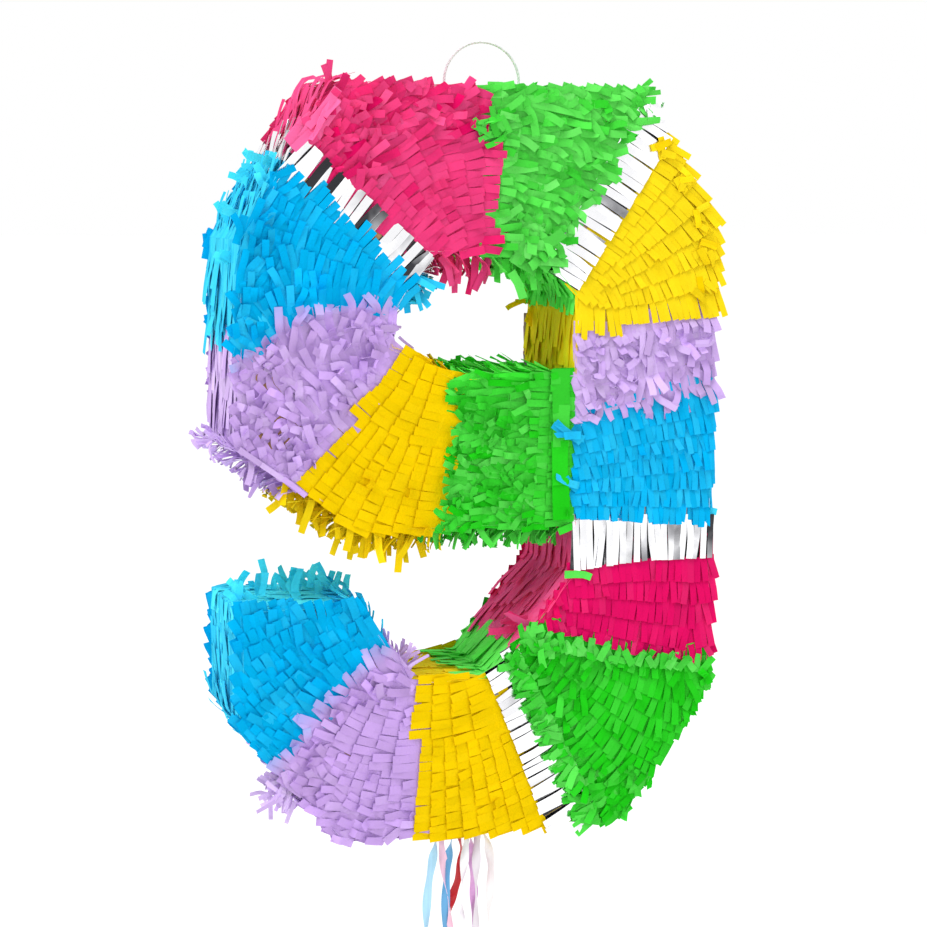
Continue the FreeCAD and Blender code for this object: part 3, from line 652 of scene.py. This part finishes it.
class Wall:
    """One edge loop of the numeral, unrolled: a distance round it, a depth, and a height above the board."""

    def __init__(self, corners, side):
        """side is -1 where the board lies inside the loop, 1 where it lies outside."""
        self.pts = to_row(corners)
        steps = np.roll(self.pts, -1, 0) - self.pts
        lengths = np.linalg.norm(steps, axis=1)
        self.at = np.concatenate([[0], np.cumsum(lengths)])
        self.ahead = steps / lengths[:, None]
        self.outward = side * turn_sign(self.pts)
        self.normals = np.stack([-self.ahead[:, 1], self.ahead[:, 0]], 1) * self.outward

    def edge(self, u):
        """Places round the loop, brought within one round, and the edge that each is on."""
        u = u % self.at[-1]
        return u, np.clip(np.searchsorted(self.at, u, side="right") - 1, 0, len(self.pts) - 1)

    def out(self, u):
        """Unit normal at u, turning smoothly over the last few mm before each corner."""
        u, e = self.edge(u)
        n, soft = len(self.pts), 5.0
        after = np.clip((u - (self.at[e + 1] - soft)) / soft, 0, 1)[..., None] / 2
        before = np.clip(((self.at[e] + soft) - u) / soft, 0, 1)[..., None] / 2
        here = self.normals[e] * (1 - after - before)
        return unit(here + self.normals[(e + 1) % n] * after + self.normals[(e - 1) % n] * before)

    def spot(self, u):
        u, e = self.edge(u)
        return self.pts[e] + self.ahead[e] * (u - self.at[e])[..., None]


OUTER_WALL = Wall(BOARD_OUTER, -1)
HOLE_WALL = Wall(BOARD_HOLE, 1)

skin_trees = {}
for node_name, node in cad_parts.items():
    name = node_name.removeprefix("tissue_")
    if name in SECTIONS:
        corners = [v.co.copy() for v in node.data.vertices]
        skin_trees[name] = BVHTree.FromPolygons(corners, [p.vertices[:] for p in node.data.polygons])


def skin_at(x, z):
    """The colour section whose wall skin is nearest this point at mid depth."""
    where = Vector((x * MM, 0.0, z * MM))
    return min(skin_trees, key=lambda n: skin_trees[n].find_nearest(where)[3])


# Manners of a wall's fringe: pitch, free length, lift, curl, ruffle, cap.
CROWN = (9, 13, 8, -9, 0.16, 5.5)
SMOOTH = (11, 15, 3.5, -5, 0.06, 5)
COMB = (12, 21, 7, -6, 0.14, 9)
LONG = (13, 28, 3.5, -3.5, 0.05, 8)
FLUFF = (12, 22, 12, -7, 0.22, 11)
SHORT = (9, 14, 8, -6, 0.2, 9)
FLAT = (12, 16, 3, -4, 0.04, 6)
HANG = (9, 19, 34, 46, 0.24, 18)
STAND = (10, 17, 12, 8, 0.25, 12)
BRUSHED = (14, 20, 2.2, -1.8, 0.025, 4.2)
# A calm under layer: short, flat and close, so that no board shows between the strands.
LINING = (9, 12.5, 2.5, -3, 0, 5)
# Each edge's flow along its loop, and its manner.
OUTER_EDGES = [
    (1, CROWN), (1, SMOOTH), (1, SMOOTH), (1, SMOOTH), (1, FLAT), (1, COMB), (1, BRUSHED), (-1, BRUSHED),
    (-1, STAND), (-1, BRUSHED), (-1, LONG), (-1, LONG), (1, HANG), (1, HANG), (-1, LONG), (1, FLUFF),
]
HOLE_EDGES = [(-1, HANG), (-1, COMB), (-1, COMB), (-1, STAND), (-1, LONG), (-1, SHORT), (-1, HANG)]
CROWN_EDGE, BASE_EDGE, ARM_TOP_EDGE, NOTCH_SLOPE_EDGE, NOTCH_SIDE_EDGE = 0, 4, 7, 10, 11
NOTCH_EDGES = range(ARM_TOP_EDGE, NOTCH_SIDE_EDGE + 1)
HOLE_SIDE_EDGE, HOLE_SLOPE_EDGE = 4, 5

WALL_DEPTH = 0.6 - FACE
LOOP_LOW, LOOP_HIGH = box_mm("hanging_loop")
DOOR_LOW, DOOR_HIGH = box_mm("trap_door")
# Room between the trap door and the fringe ahead of it, beside it on the front and beside it on the back.
DOOR_ROOM, DOOR_FRONT_ROOM, DOOR_BACK_ROOM = 1.5, 3, 4.6


def outer_section(x, z, e):
    if e == NOTCH_SLOPE_EDGE:
        return "pink_right" if x > MIDDLE + 22 else "green_lower_right"
    return "pink_right" if e == NOTCH_SIDE_EDGE else skin_at(x, z)


def hole_section(x, z, e):
    named = {HOLE_SLOPE_EDGE: "green_top", HOLE_SIDE_EDGE: "yellow_upper_right"}
    return named.get(e) or skin_at(x, z)


def clear_door(e, x, y, free, header):
    """On the base, strips stop short of the trap door. The flow there runs towards -x."""
    if e != BASE_EDGE:
        return free, header
    in_line = (y > DOOR_LOW.y - DOOR_FRONT_ROOM) & (y < DOOR_HIGH.y + DOOR_BACK_ROOM)
    to_door = x - (DOOR_HIGH.x + DOOR_ROOM)
    past_door = DOOR_LOW.x - DOOR_ROOM - x
    free = np.where(in_line & (past_door < 0), np.minimum(free, to_door), free)
    return free, np.where(in_line & (past_door > 0), np.minimum(header, past_door), header)


def wall_fringe(rng, wall, edges, section_of, manner=None):
    """Strips round one edge loop, in each edge's manner or all in one, piled with the section they lie on."""
    on_outer = wall is OUTER_WALL
    for e, (flow, own_manner) in enumerate(edges):
        pitch, reach, lift0, curl0, rough, cap = manner or own_manner
        # Painted light: in the hole and the notch the strips are painted lighter, against the shade there, as
        # if light came through the paper.
        painted_light_gain = 1.0 if on_outer and e not in NOTCH_EDGES else 1.4
        # Painted highlight: wall strips are painted partly in the paler colour, and those on the arm's top
        # more so.
        pale = 0.9 if on_outer and e == ARM_TOP_EDGE else WALL_PAINTED_LIGHT
        start, stop = wall.at[e], wall.at[e + 1]
        rows = max(1, int(round((stop - start) / pitch)))
        for j in range(rows):
            y = np.arange(-WALL_DEPTH + rng.uniform(1, 3), WALL_DEPTH, STRIP_GAP)
            u = start + (stop - start) * (j + 0.5) / rows + rng.normal(0, 1.2, len(y))
            free = reach * rng.uniform(0.75, 1.15, len(y))
            # The header starts on its own edge, so it never cuts through a corner.
            header = np.minimum(pitch + 2.0, u - start if flow > 0 else stop - u)
            root_x = wall.spot(u)[:, 0]
            free, header = clear_door(e, root_x, y, free, header)
            if not on_outer and e == HOLE_SIDE_EDGE:
                free = np.minimum(free, u - start)
            header = np.maximum(header, 0.4)
            keep = free > 5
            y, u, free, header, root_x = (v[keep] for v in (y, u, free, header, root_x))
            count = len(y)
            by_loop = (root_x > LOOP_LOW.x - 22) & (root_x < LOOP_HIGH.x + 4)
            by_loop &= (e == CROWN_EDGE) & (np.abs(y) < 9)
            lift = np.where(by_loop, 2.0, lift0 + np.abs(rng.normal(0, 2 + 26 * rough, count)))
            curl = np.where(by_loop, -4.0, curl0 - rng.normal(4, 4 + 40 * rough, count))
            yaw, sweep = rng.normal(0, 2 + 14 * rough, count), rng.normal(0, 2 + 14 * rough, count)
            twist = rng.normal(0, 3 + 50 * rough, count) * np.where(by_loop, 0.2, 1)
            wide = STRIP_GAP * rng.uniform(0.8, 1.25, count) * (1.4 if rough < 0.08 else 1)
            y = np.clip(y, wide / 2 - WALL_DEPTH, WALL_DEPTH - wide / 2)
            base = 0.3 + 0.3 * rng.uniform(0, 1, count)
            local = strips(rng, header, free, wide, lift, curl, yaw, sweep, twist, base, cap)
            round_loop = u[:, None, None, None] + flow * local[..., 0]
            xz = wall.spot(round_loop) + wall.out(round_loop) * local[..., 2][..., None]
            deep = y[:, None, None, None] - flow * wall.outward * local[..., 1]
            points = np.stack([xz[..., 0], deep, xz[..., 1]], -1)
            for k in range(0, count, 4):
                part = slice(k, min(k + 4, count))
                mid = np.array([u[part].mean() + flow * reach * 0.55])
                at = (wall.spot(mid) + wall.out(mid) * 2)[0]
                name = section_of(at[0], at[1], e)
                number = part.stop - part.start
                paint = shades(rng, SECTIONS[name][0], number, pale, 0.8)
                paint = paint * np.minimum(painted_light_gain, 1 / paint.max(-1, keepdims=True))
                PILES[name].add(points[part], paint, gleams(rng, number))


FLAP_LOW, FLAP_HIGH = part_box("fill_flap")
# The fringe keeps this far from the flap, in mm, so that the flap can swing out.
FLAP_ROOM = 2.8
FLAP_PLAN = (
    FLAP_LOW.x / MM - MIDDLE - FLAP_ROOM, FLAP_HIGH.x / MM - MIDDLE + FLAP_ROOM,
    TOP - FLAP_HIGH.z / MM - FLAP_ROOM, TOP - FLAP_LOW.z / MM + FLAP_ROOM,
)
PILES = {name: Pile() for name in SECTIONS}
for number, name in enumerate(SECTIONS):
    face_fringe(np.random.default_rng(100 + number), name, FACE, -1.0)
for number, name in enumerate(SECTIONS):
    face_fringe(np.random.default_rng(200 + number), name, -FACE, 1.0, FLAP_PLAN)
wall_fringe(np.random.default_rng(301), OUTER_WALL, OUTER_EDGES, outer_section)
wall_fringe(np.random.default_rng(302), HOLE_WALL, HOLE_EDGES, hole_section)
wall_fringe(np.random.default_rng(303), OUTER_WALL, OUTER_EDGES, outer_section, LINING)
wall_fringe(np.random.default_rng(304), HOLE_WALL, HOLE_EDGES, hole_section, LINING)

# ---- hems and tufts

DOWN, UP_LEFT, UP, RIGHTWARD = 90.0, 205.0, -90.0, 0.0
# How far behind the board's face loose strips start, in mm; minus is in front, over the face's fringe.
UNDER, OVER, JUST_OVER = (1.0, 16.0), (-3.4, -1.6), (-2.6, -1.0)
HEM_DRAWS, TUFT_DRAWS, BAND_DRAWS = (np.random.default_rng(seed) for seed in (500, 501, 502))


def loose_strips(rng, name, plan, y, heading, length, lift, width, pale, curly=1.0):
    """Single strips over the front, one at each (across, below), headed this far from across to below, mixed
    by pale with the paler colour as painted light.
    """
    count = len(plan)
    angle = np.radians(heading)
    width = width * rng.uniform(0.8, 1.05, count)
    bends = [rng.normal(*curve, count) * curly for curve in ((-6, 22), (0, 6), (0, 12), (0, 30))]
    local = strips(rng, np.full(count, 2.5), length, width, lift, *bends, np.full(count, 0.4), FACE_CAP)
    paint = shades(rng, SECTIONS[name][0], count, pale)
    where = face_frame(plan, np.stack([np.cos(angle), np.sin(angle)], 1), y, -1.0)
    PILES[name].add(lay_flat(local, *where), paint, gleams(rng, count))


def hem(name, start, stop, shortest, longest, heading=DOWN, spread=16.0, step=3.4, depth=UNDER, pale=0.3):
    """Strips that hang from an edge of the front between two (across, below) points."""
    rng = HEM_DRAWS
    start, stop = np.array(start, float), np.array(stop, float)
    count = max(2, int(np.linalg.norm(stop - start) / step))
    share = (np.arange(count) + rng.uniform(0.2, 0.8, count)) / count
    loose_strips(
        rng, name, start + (stop - start) * share[:, None], FACE + rng.uniform(*depth, count),
        heading + rng.normal(0, spread, count), rng.uniform(shortest, longest, count),
        rng.normal(2, 6, count), 4.2, pale,
    )


def tuft(name, spot, heading, spread, count, length, jitter, depth=UNDER, width=4.2, pale=0.3):
    """A burst of strips from one spot."""
    rng = TUFT_DRAWS
    plan = np.array(spot, float) + rng.normal(0, jitter, (count, 2))
    loose_strips(
        rng, name, plan, FACE + rng.uniform(*depth, count),
        heading + rng.uniform(-spread, spread, count), length * rng.uniform(0.75, 1.15, count),
        rng.normal(8, 8, count), width, pale,
    )


def band(name, spots, heading, length, width, pale):
    """Wide smooth strips laid end over end along an edge of the front."""
    rng, count = BAND_DRAWS, len(spots)
    loose_strips(
        rng, name, np.array(spots, float), FACE - 2.0 - 0.25 * np.arange(count),
        heading + rng.normal(0, 1.2, count), length * rng.uniform(0.95, 1.05, count), np.full(count, 1.0),
        width, pale, 0.1,
    )


hem("pink_top", (-24, 96), (8, 98), 12, 19)
hem("green_top", (8, 98), (36, 98), 8, 15)
hem("lavender_left", (-132, 202), (-118, 212), 12, 20, 100)
hem("yellow_middle", (-112, 214), (-68, 246), 12, 20, 95)
hem("yellow_middle", (-68, 245), (-34, 245), 14, 24)
hem("green_middle", (-32, 245), (46, 245), 7, 13)
hem("green_lower_right", (26, 309), (80, 323), 6, 10, UP, 36, 2.8, OVER, 0.35)
hem("green_lower_right", (80, 323), (134, 331), 6, 9, UP, 36, 3.2, OVER, 0.25)
hem("green_lower_right", (20, 317), (60, 395), 10, 15, 153, 24, 1.9, JUST_OVER, 0.35)
hem("green_lower_right", (60, 401), (69, 417), 10, 14, 172, 12, 1.3, JUST_OVER, 0.3)

tuft("blue_upper_left", (-44, 105), 45, 35, 16, 19, 3, (0, 22))
# Painted light: these tufts on the corner stand in shade and are painted nearly all in the paler colour.
for spot in ((-132, 96), (-128, 74), (-119, 58), (-109, 44)):
    tuft("blue_upper_left", spot, 215, 40, 5, 11.5, 2.5, (8, 78), 4.6, 0.95)
tuft("lavender_left", (-51, 137), 10, 60, 4, 10, 2.5, (2, 12), 1.6)
tuft("lavender_lower_left", (-108.5, 384), 165, 75, 66, 13, 5, (0, 24), 2.6, 0.7)
tuft("lavender_lower_left", (-43, 321), -60, 35, 14, 12, 2, (0, 30), 2.4, 0.5)
tuft("blue_right", (54, 196), UP_LEFT, 22, 5, 15, 1.5, OVER)
tuft("blue_right", (54, 222), UP_LEFT, 12, 3, 11, 1, OVER)
tuft("blue_right", (133, 240), RIGHTWARD, 8, 2, 7.5, 1, (-0.5, 6))
tuft("green_lower_right", (50.5, 272.5), RIGHTWARD, 6, 1, 12, 0.2, OVER)
tuft("green_lower_right", (27, 303), 8, 6, 1, 12, 0.2, OVER)
tuft("green_lower_right", (34, 316), -70, 60, 12, 11, 6, OVER)
tuft("green_top", (26, 90), 60, 90, 14, 15, 5, OVER, 6, 0.5)
tuft("green_top", (6, 24), 200, 60, 16, 10, 6, OVER, 3.6, 0.4)
tuft("green_top", (91.5, 4.5), -5, 45, 6, 10, 2, (0, 10), 2.8, 0.5)
tuft("foil_top_right", (96, 15), 50, 60, 5, 8, 1.5, OVER, 3.4)
tuft("pink_top", (-87, 5), -100, 8, 2, 14, 1, (-0.5, 4))
# Painted light: these tufts are painted all in the paler colour.
for spot in ((-84, 12), (-94, 22)):
    tuft("pink_top", spot, 131, 9, 7, 22, 2, (-3.8, 8), 5.2, 1.0)
tuft("pink_right", (28, 301), 185, 20, 5, 14, 3, (-0.5, 20))
for spot in ((102, 34), (114, 50), (125, 70), (129, 92), (129, 112)):
    tuft("yellow_upper_right", spot, 40, 80, 5, 7, 2.5, OVER, 4, 0.4)
# Painted highlight: the tufts on the arm's top are painted nearly all in the paler colour.
for across in np.arange(-132.0, -58.0, 6.0):
    # Past the corner of the arm's top they stand on the slope.
    below = 282.5 + max(0.0, across + 71) * 1.41
    tuft("blue_arm", (across, below), -110, 48, 3, 10.5, 2, (30, 82), 4.4, 0.95)
tuft("yellow_upper_right", (51, 128), 150, 50, 4, 11, 3, (70, 80), 3)

band("green_middle", [(44.3, 159), (44.6, 179), (44, 199), (44.4, 218)], DOWN, 22, 11, 0.12)
band("lavender_left", [(-136, 197.5), (-124, 206), (-112, 214)], 36, 14, 3.2, 0.25)


def dress(piece, body, replaced):
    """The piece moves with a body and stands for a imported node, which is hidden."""
    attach(piece, body)
    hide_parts(replaced)


for name, pile in PILES.items():
    colour = SECTIONS[name].colour
    fringe = pile.build("fringe_" + name, FOIL if colour == SILVER else TISSUE)
    dress(fringe, "shell", skin_node(name))

# ---- fringe on the two doors


def row_fringe(rng, pile, colour, roots, flow, up, room, pitch, cap):
    """Calm rows of strips on a flat door: roots is strips x 3, and room how far each may reach."""
    count = len(roots)
    free = np.minimum(pitch * rng.uniform(1.25, 1.5, count), room)
    wide = STRIP_GAP * rng.uniform(0.85, 1.0, count)
    bends = [rng.normal(*curve, count) for curve in ((7, 2), (-8, 4), (0, 4), (0, 4), (0, 8))]
    base = 0.3 + 0.25 * rng.uniform(0, 1, count)
    local = strips(rng, np.full(count, pitch * 0.8), free, wide, *bends, base, cap)
    points = lay_flat(local, roots, np.tile(flow, (count, 1)), np.tile(up, (count, 1)))
    pile.add(points, shades(rng, colour, count, 0.1, 0.3), gleams(rng, count))


def fill_flap_fringe():
    rng, pile = np.random.default_rng(401), Pile()
    low, high = box_mm("fill_flap")
    pitch = 9.4
    for z in np.arange(high.z - pitch, low.z + 6, -pitch):
        x = np.arange(low.x + 3, high.x - 2, STRIP_GAP)
        roots = np.stack([x, np.full(len(x), high.y), np.full(len(x), z)], 1)
        row_fringe(rng, pile, LAVENDER, roots, (0, 0, -1.0), (0, 1.0, 0), z - low.z, pitch, 4.0)
    return pile.build("fringe_fill_flap", TISSUE)


def trap_door_fringe():
    rng, pile = np.random.default_rng(402), Pile()
    tab_low, tab_high = box_mm("release_tab")
    low, high = box_mm("tissue_trap_door")
    pitch = 10.4
    for x in np.arange(high.x - pitch, low.x + 5, -pitch):
        y = np.arange(low.y + 2.5, high.y - 2, STRIP_GAP)
        room = np.full(len(y), x - low.x)
        in_line = (y > tab_low.y - 3) & (y < tab_high.y + 3)
        room = np.where(in_line & (x > tab_low.x), np.minimum(room, x - tab_high.x - 1), room)
        clear = (room > 4) & ~(in_line & (x - tab_high.x < pitch) & (x > tab_low.x - pitch * 0.8))
        y, room = y[clear], room[clear]
        roots = np.stack([np.full(len(y), x), y, np.full(len(y), high.z)], 1)
        row_fringe(rng, pile, YELLOW, roots, (-1.0, 0, 0), (0, 0, -1.0), room, pitch, 3.2)
    return pile.build("fringe_trap_door", TISSUE)


dress(fill_flap_fringe(), "fill_flap", "tissue_fill_flap")
dress(trap_door_fringe(), "trap_door", "tissue_trap_door")

# ---- hanging loop, ribbons and knot


def swept(line, side, rise, section):
    """Points and faces of a closed solid: the section's (side, rise) corners carried along the line."""
    rings = line[:, None] + side[:, None] * section[None, :, 0:1] + rise[:, None] * section[None, :, 1:2]
    count, around = rings.shape[:2]
    faces = [tuple(reversed(range(around)))]
    for a in range(0, (count - 1) * around, around):
        for k in range(around):
            after = (k + 1) % around
            faces.append((a + k, a + after, a + around + after, a + around + k))
    faces.append(tuple(range((count - 1) * around, count * around)))
    return rings.reshape(-1, 3), faces


def mesh_object(name, parts, material):
    """One object of several closed solids, given as (points in mm, faces)."""
    points, faces, at = [], [], 0
    for part_points, part_faces in parts:
        points.append(part_points)
        faces += [tuple(at + v for v in face) for face in part_faces]
        at += len(part_points)
    mesh = bpy.data.meshes.new(name)
    mesh.from_pydata((np.concatenate(points) * MM).tolist(), [], faces)
    mesh.polygons.foreach_set("use_smooth", np.ones(len(faces), bool))
    mesh.set_sharp_from_angle(angle=math.radians(40))
    mesh.validate()
    mesh.materials.append(material)
    return add_object(name, mesh)


CORD = fibrous_material("loop_cord", linear((204, 204, 206)), linear((236, 236, 238)), (900, 3))
LOOP_CORD = 1.6
LAY_LENGTH = 5.5


def hanging_loop():
    """A half ring of three twisted strands on straight feet."""
    radius = (LOOP_HIGH.x - LOOP_LOW.x - LOOP_CORD) / 2
    centre_x, centre_z = (LOOP_LOW.x + LOOP_HIGH.x) / 2, LOOP_HIGH.z - LOOP_CORD / 2 - radius
    foot = max(0.0, centre_z - LOOP_LOW.z)
    arc = math.pi * radius
    s = np.linspace(-foot, arc + foot, 150)
    angle, level = np.clip(s / radius, 0, math.pi), np.zeros(len(s))
    below = np.maximum(0, -s) + np.maximum(0, s - arc)
    outward = np.stack([-np.cos(angle), level, np.sin(angle)], 1)
    line = np.array([centre_x, 0, centre_z]) + outward * radius - np.array([0, 0, 1.0]) * below[:, None]
    front = np.cross(np.stack([np.sin(angle), level, np.cos(angle)], 1), outward)
    strand = LOOP_CORD * 0.27
    corners = np.arange(8) * 2 * math.pi / 8
    section = np.stack([np.cos(corners), np.sin(corners)], 1) * strand
    parts = []
    for turn in range(3):
        phase = (s / LAY_LENGTH * 2 * math.pi + turn * 2 * math.pi / 3)[:, None]
        offset = outward * np.cos(phase) + front * np.sin(phase)
        parts.append(swept(line + offset * (LOOP_CORD / 2 - strand), outward, -front, section))
    return mesh_object("loop_twisted_cord", parts, CORD)


dress(hanging_loop(), "hanging_loop", "hanging_loop")

RIBBON_WIDTH = 5.0
RIBBON_THICK = 0.22
# Each ribbon's colour, place right of the numeral's middle and in front of the row, how far it turns about
# its own length in radians, and its (drift, way down) points.
RIBBONS = {
    "ribbon_sky_blue": (
        (166, 212, 236), -24.1, 0, 1.1,
        [(0, 4), (-1.2, 12), (-3.4, 24), (-5.6, 40), (-5.8, 60), (-4.2, 92), (-2.4, 138),
         (-2.2, 184), (0.6, 230), (2.4, 276)],
    ),
    "ribbon_pale_pink": (
        (246, 200, 220), -21, -1.4, -1.2,
        [(0, 6), (2, 22), (5.4, 44), (5.6, 66), (4.6, 88), (2.6, 132), (2, 176), (-1.2, 220), (-2, 264)],
    ),
    "ribbon_mid_blue": (
        (92, 157, 204), -14.7, 0, 1.2,
        [(0, 5), (-2.2, 14), (-3, 26), (-4.2, 50), (-1.6, 94), (0.4, 141), (-1.6, 188),
         (-2.2, 235), (0.2, 282)],
    ),
    "ribbon_white": (
        (246, 246, 248), -5.9, 0, -1.3,
        [(0, 6), (-1.6, 20), (-3.4, 40), (-2.6, 60), (1.3, 86), (1.4, 129), (-0.4, 172),
         (-1.8, 215), (-1.2, 258)],
    ),
    "ribbon_lilac": (
        (217, 162, 214), -3.5, -1.4, 1.2,
        [(0, 4), (0.5, 12), (1.6, 26), (2.6, 38), (1.6, 50), (1.6, 90), (3.6, 135),
         (4.2, 180), (3, 225), (3.6, 270)],
    ),
    "ribbon_silver": (
        (222, 214, 222), -0.3, 1.4, -1.1,
        [(0, 8), (-0.6, 24), (-0.2, 46), (-1, 92), (1, 138), (1.2, 184), (-0.8, 230), (-0.4, 276)],
    ),
    "ribbon_ivory": (
        (238, 232, 232), 3.3, 0, 1.1,
        [(0.8, 4), (3.4, 11), (5.4, 22), (5, 36), (3.8, 52), (2.6, 88), (4.2, 132), (5.6, 176), (5.2, 220),
         (7, 264)],
    ),
}
RELEASE_COLOUR = (206, 4, 22)
RELEASE_BENDS = [
    (0.6, 5), (1.8, 12), (-0.3, 26), (-4.2, 36), (-7.6, 50), (-4, 84), (2, 135),
    (0.2, 180), (-1.4, 225), (-0.8, 270),
]
STRIP_LOW, STRIP_HIGH = box_mm("ribbon_strip")
RIBBON_LINE = (STRIP_LOW.y + STRIP_HIGH.y) / 2
KNOT_LOW, KNOT_HIGH = box_mm("release_knot")


def ribbon_material(name, colour):
    """Glossy gift ribbon with fine ribs along it."""
    body = linear(colour)
    return fibrous_material(
        name, body * 0.82, np.minimum(1, body * 1.08), (700, 2, (1, 1, 0.01)), 0.32, 0.0003, (0, 1)
    )


def nurbs_line(route):
    """The points of a smooth line with the route as its control points, in mm."""
    curve = bpy.data.curves.new("route", "CURVE")
    curve.dimensions = "3D"
    spline = curve.splines.new("NURBS")
    spline.points.add(len(route) - 1)
    for point, place in zip(spline.points, route):
        point.co = (*(np.array(place) * MM), 1)
    spline.order_u = 3
    spline.use_endpoint_u = True
    spline.resolution_u = 10
    carrier = add_object("route", curve)
    bpy.context.view_layer.update()
    line_mesh = bpy.data.meshes.new_from_object(carrier)
    line = np.array([v.co for v in line_mesh.vertices], float) / MM
    bpy.data.objects.remove(carrier)
    bpy.data.curves.remove(curve)
    bpy.data.meshes.remove(line_mesh)
    return line


def ribbon(name, colour, x_top, y, z_top, bends, turn, body):
    """A flat ribbon that hangs and turns a little about its own length."""
    route = [(x_top, y, z_top)] + [(x_top + drift, y, z_top - down) for drift, down in bends]
    line = nurbs_line(route)
    tangent = unit(np.gradient(line, axis=0))
    angle = turn * np.sin(0.5 + np.linspace(0, 1, len(line)) * 14.0)
    across = np.stack([np.cos(angle), np.sin(angle), np.zeros(len(line))], 1)
    across = unit(across - tangent * np.sum(across * tangent, 1)[:, None])
    half, thick, cup = RIBBON_WIDTH / 2, RIBBON_THICK / 2, 0.3
    arch = [(-half, 0), (-half / 2, cup * 0.7), (0, cup), (half / 2, cup * 0.7), (half, 0)]
    section = np.array([(x, z - thick) for x, z in arch] + [(x, z + thick) for x, z in reversed(arch)])
    solid = swept(line, across, np.cross(tangent, across), section)
    made = mesh_object("hung_" + name, [solid], ribbon_material(name, colour))
    dress(made, body, name)


for name, (colour, across, forward, turn, bends) in RIBBONS.items():
    ribbon(name, colour, MIDDLE + across, RIBBON_LINE - forward, STRIP_LOW.z, bends, turn, "shell")


def release_knot(material):
    """The ribbon wound round itself into a ball: one closed surface with slanting folds."""
    rows, around = 24, 40
    tilt = np.repeat(math.pi * np.arange(1, rows) / rows, around)
    turn = np.tile(2 * math.pi * np.arange(around) / around, rows - 1)
    fold = 1 + 0.09 * np.sin(3 * turn + 4 * tilt) * np.sin(tilt)
    rings = np.stack([np.sin(tilt) * np.cos(turn), np.sin(tilt) * np.sin(turn), np.cos(tilt)], 1)
    points = np.concatenate([[(0, 0, 1.0)], rings * fold[:, None], [(0, 0, -1.0)]])
    last, bottom = len(points) - 1, 1 + (rows - 2) * around
    beside = [(k, (k + 1) % around) for k in range(around)]
    faces = [(0, 1 + k, 1 + after) for k, after in beside]
    for a in range(1, bottom, around):
        faces += [(a + k, a + around + k, a + around + after, a + after) for k, after in beside]
    faces += [(last, bottom + after, bottom + k) for k, after in beside]
    ball = points * (KNOT_HIGH.x - KNOT_LOW.x) / 2 * 0.97 + np.array((KNOT_LOW + KNOT_HIGH) / 2)
    return mesh_object("wound_release_knot", [(ball, faces)], material)


knot = release_knot(ribbon_material("release_knot", RELEASE_COLOUR))
dress(knot, "release_ribbon", "release_knot")
ribbon(
    "ribbon_red", RELEASE_COLOUR, (KNOT_LOW.x + KNOT_HIGH.x) / 2, (KNOT_LOW.y + KNOT_HIGH.y) / 2, KNOT_LOW.z,
    RELEASE_BENDS, 1.1, "release_ribbon",
)

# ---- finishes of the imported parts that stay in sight

BOARD_PARTS = [
    "front_panel", "back_panel", "ribbon_strip", "fill_flap", "trap_door", "release_tab",
    *(side + "_wall" for side in ("crown", "right", "foot", "arm", "notch", "bowl", "left", "base", "hole")),
]
FINISHES = {"hanger_patch": TAPE, "corner_tapes": TAPE, "hanger_tail": CORD}
FINISHES |= dict.fromkeys(BOARD_PARTS, BOARD)
for name, finish in FINISHES.items():
    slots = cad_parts[name].data.materials
    slots.clear()
    slots.append(finish)

# ---- camera, light, floor

# The camera's turn to the right, tilt down and roll, in degrees.
CAMERA_ANGLES = (17.76, 6.91, 0.29)
camera_data = bpy.data.cameras.new("camera")
camera_data.sensor_width = 36.0
camera_data.lens = 89.36
camera_data.clip_start = 0.05
camera_data.clip_end = 100.0
camera = add_object("camera", camera_data)
yaw, pitch, roll = (math.radians(angle) for angle in CAMERA_ANGLES)
camera.matrix_world = (
    Matrix.Translation(((MIDDLE - 395.8) * MM, (FRONT - 1195.9) * MM, (TOP - 55.2) * MM))
    @ Matrix.Rotation(-yaw, 4, "Z")
    @ Matrix.Rotation(math.pi / 2 - pitch, 4, "X")
    @ Matrix.Rotation(roll, 4, "Z")
)
bpy.context.scene.camera = camera

world = bpy.data.worlds.new("studio")
bpy.context.scene.world = world
world.use_nodes = True
world.node_tree.nodes["Background"].inputs["Color"].default_value = (1, 1, 1, 1)
world.node_tree.nodes["Background"].inputs["Strength"].default_value = 1.0
bpy.context.scene.view_settings.view_transform = "Standard"

AIM = Vector((-0.01, 0.0, -0.24))
for name, place, size, power in (("key", (-1.3, -1.0, 2.1), 1.2, 44), ("fill", (1.6, -1.8, 0.3), 1.6, 4)):
    light = bpy.data.lights.new(name, "AREA")
    light.size = size
    light.energy = power
    lamp = add_object(name, light)
    lamp.location = place
    lamp.rotation_euler = (AIM - Vector(place)).to_track_quat("-Z", "Y").to_euler()

FLOOR_Z = -0.80
FLOOR_HALF = 30.0
floor_corners = [(x * FLOOR_HALF, y * FLOOR_HALF, FLOOR_Z) for x, y in ((-1, -1), (1, -1), (1, 1), (-1, 1))]
floor_mesh = bpy.data.meshes.new("floor")
floor_mesh.from_pydata(floor_corners, [], [(0, 1, 2, 3)])
floor = add_object("floor", floor_mesh)
pale = Finish("pale_floor")
pale.fill(pale.main, Base_Color=(0.92, 0.92, 0.92, 1), Roughness=0.9)
pale.fill(pale.main, Emission_Color=(1, 1, 1, 1), Emission_Strength=0.12)
floor_mesh.materials.append(pale.material)
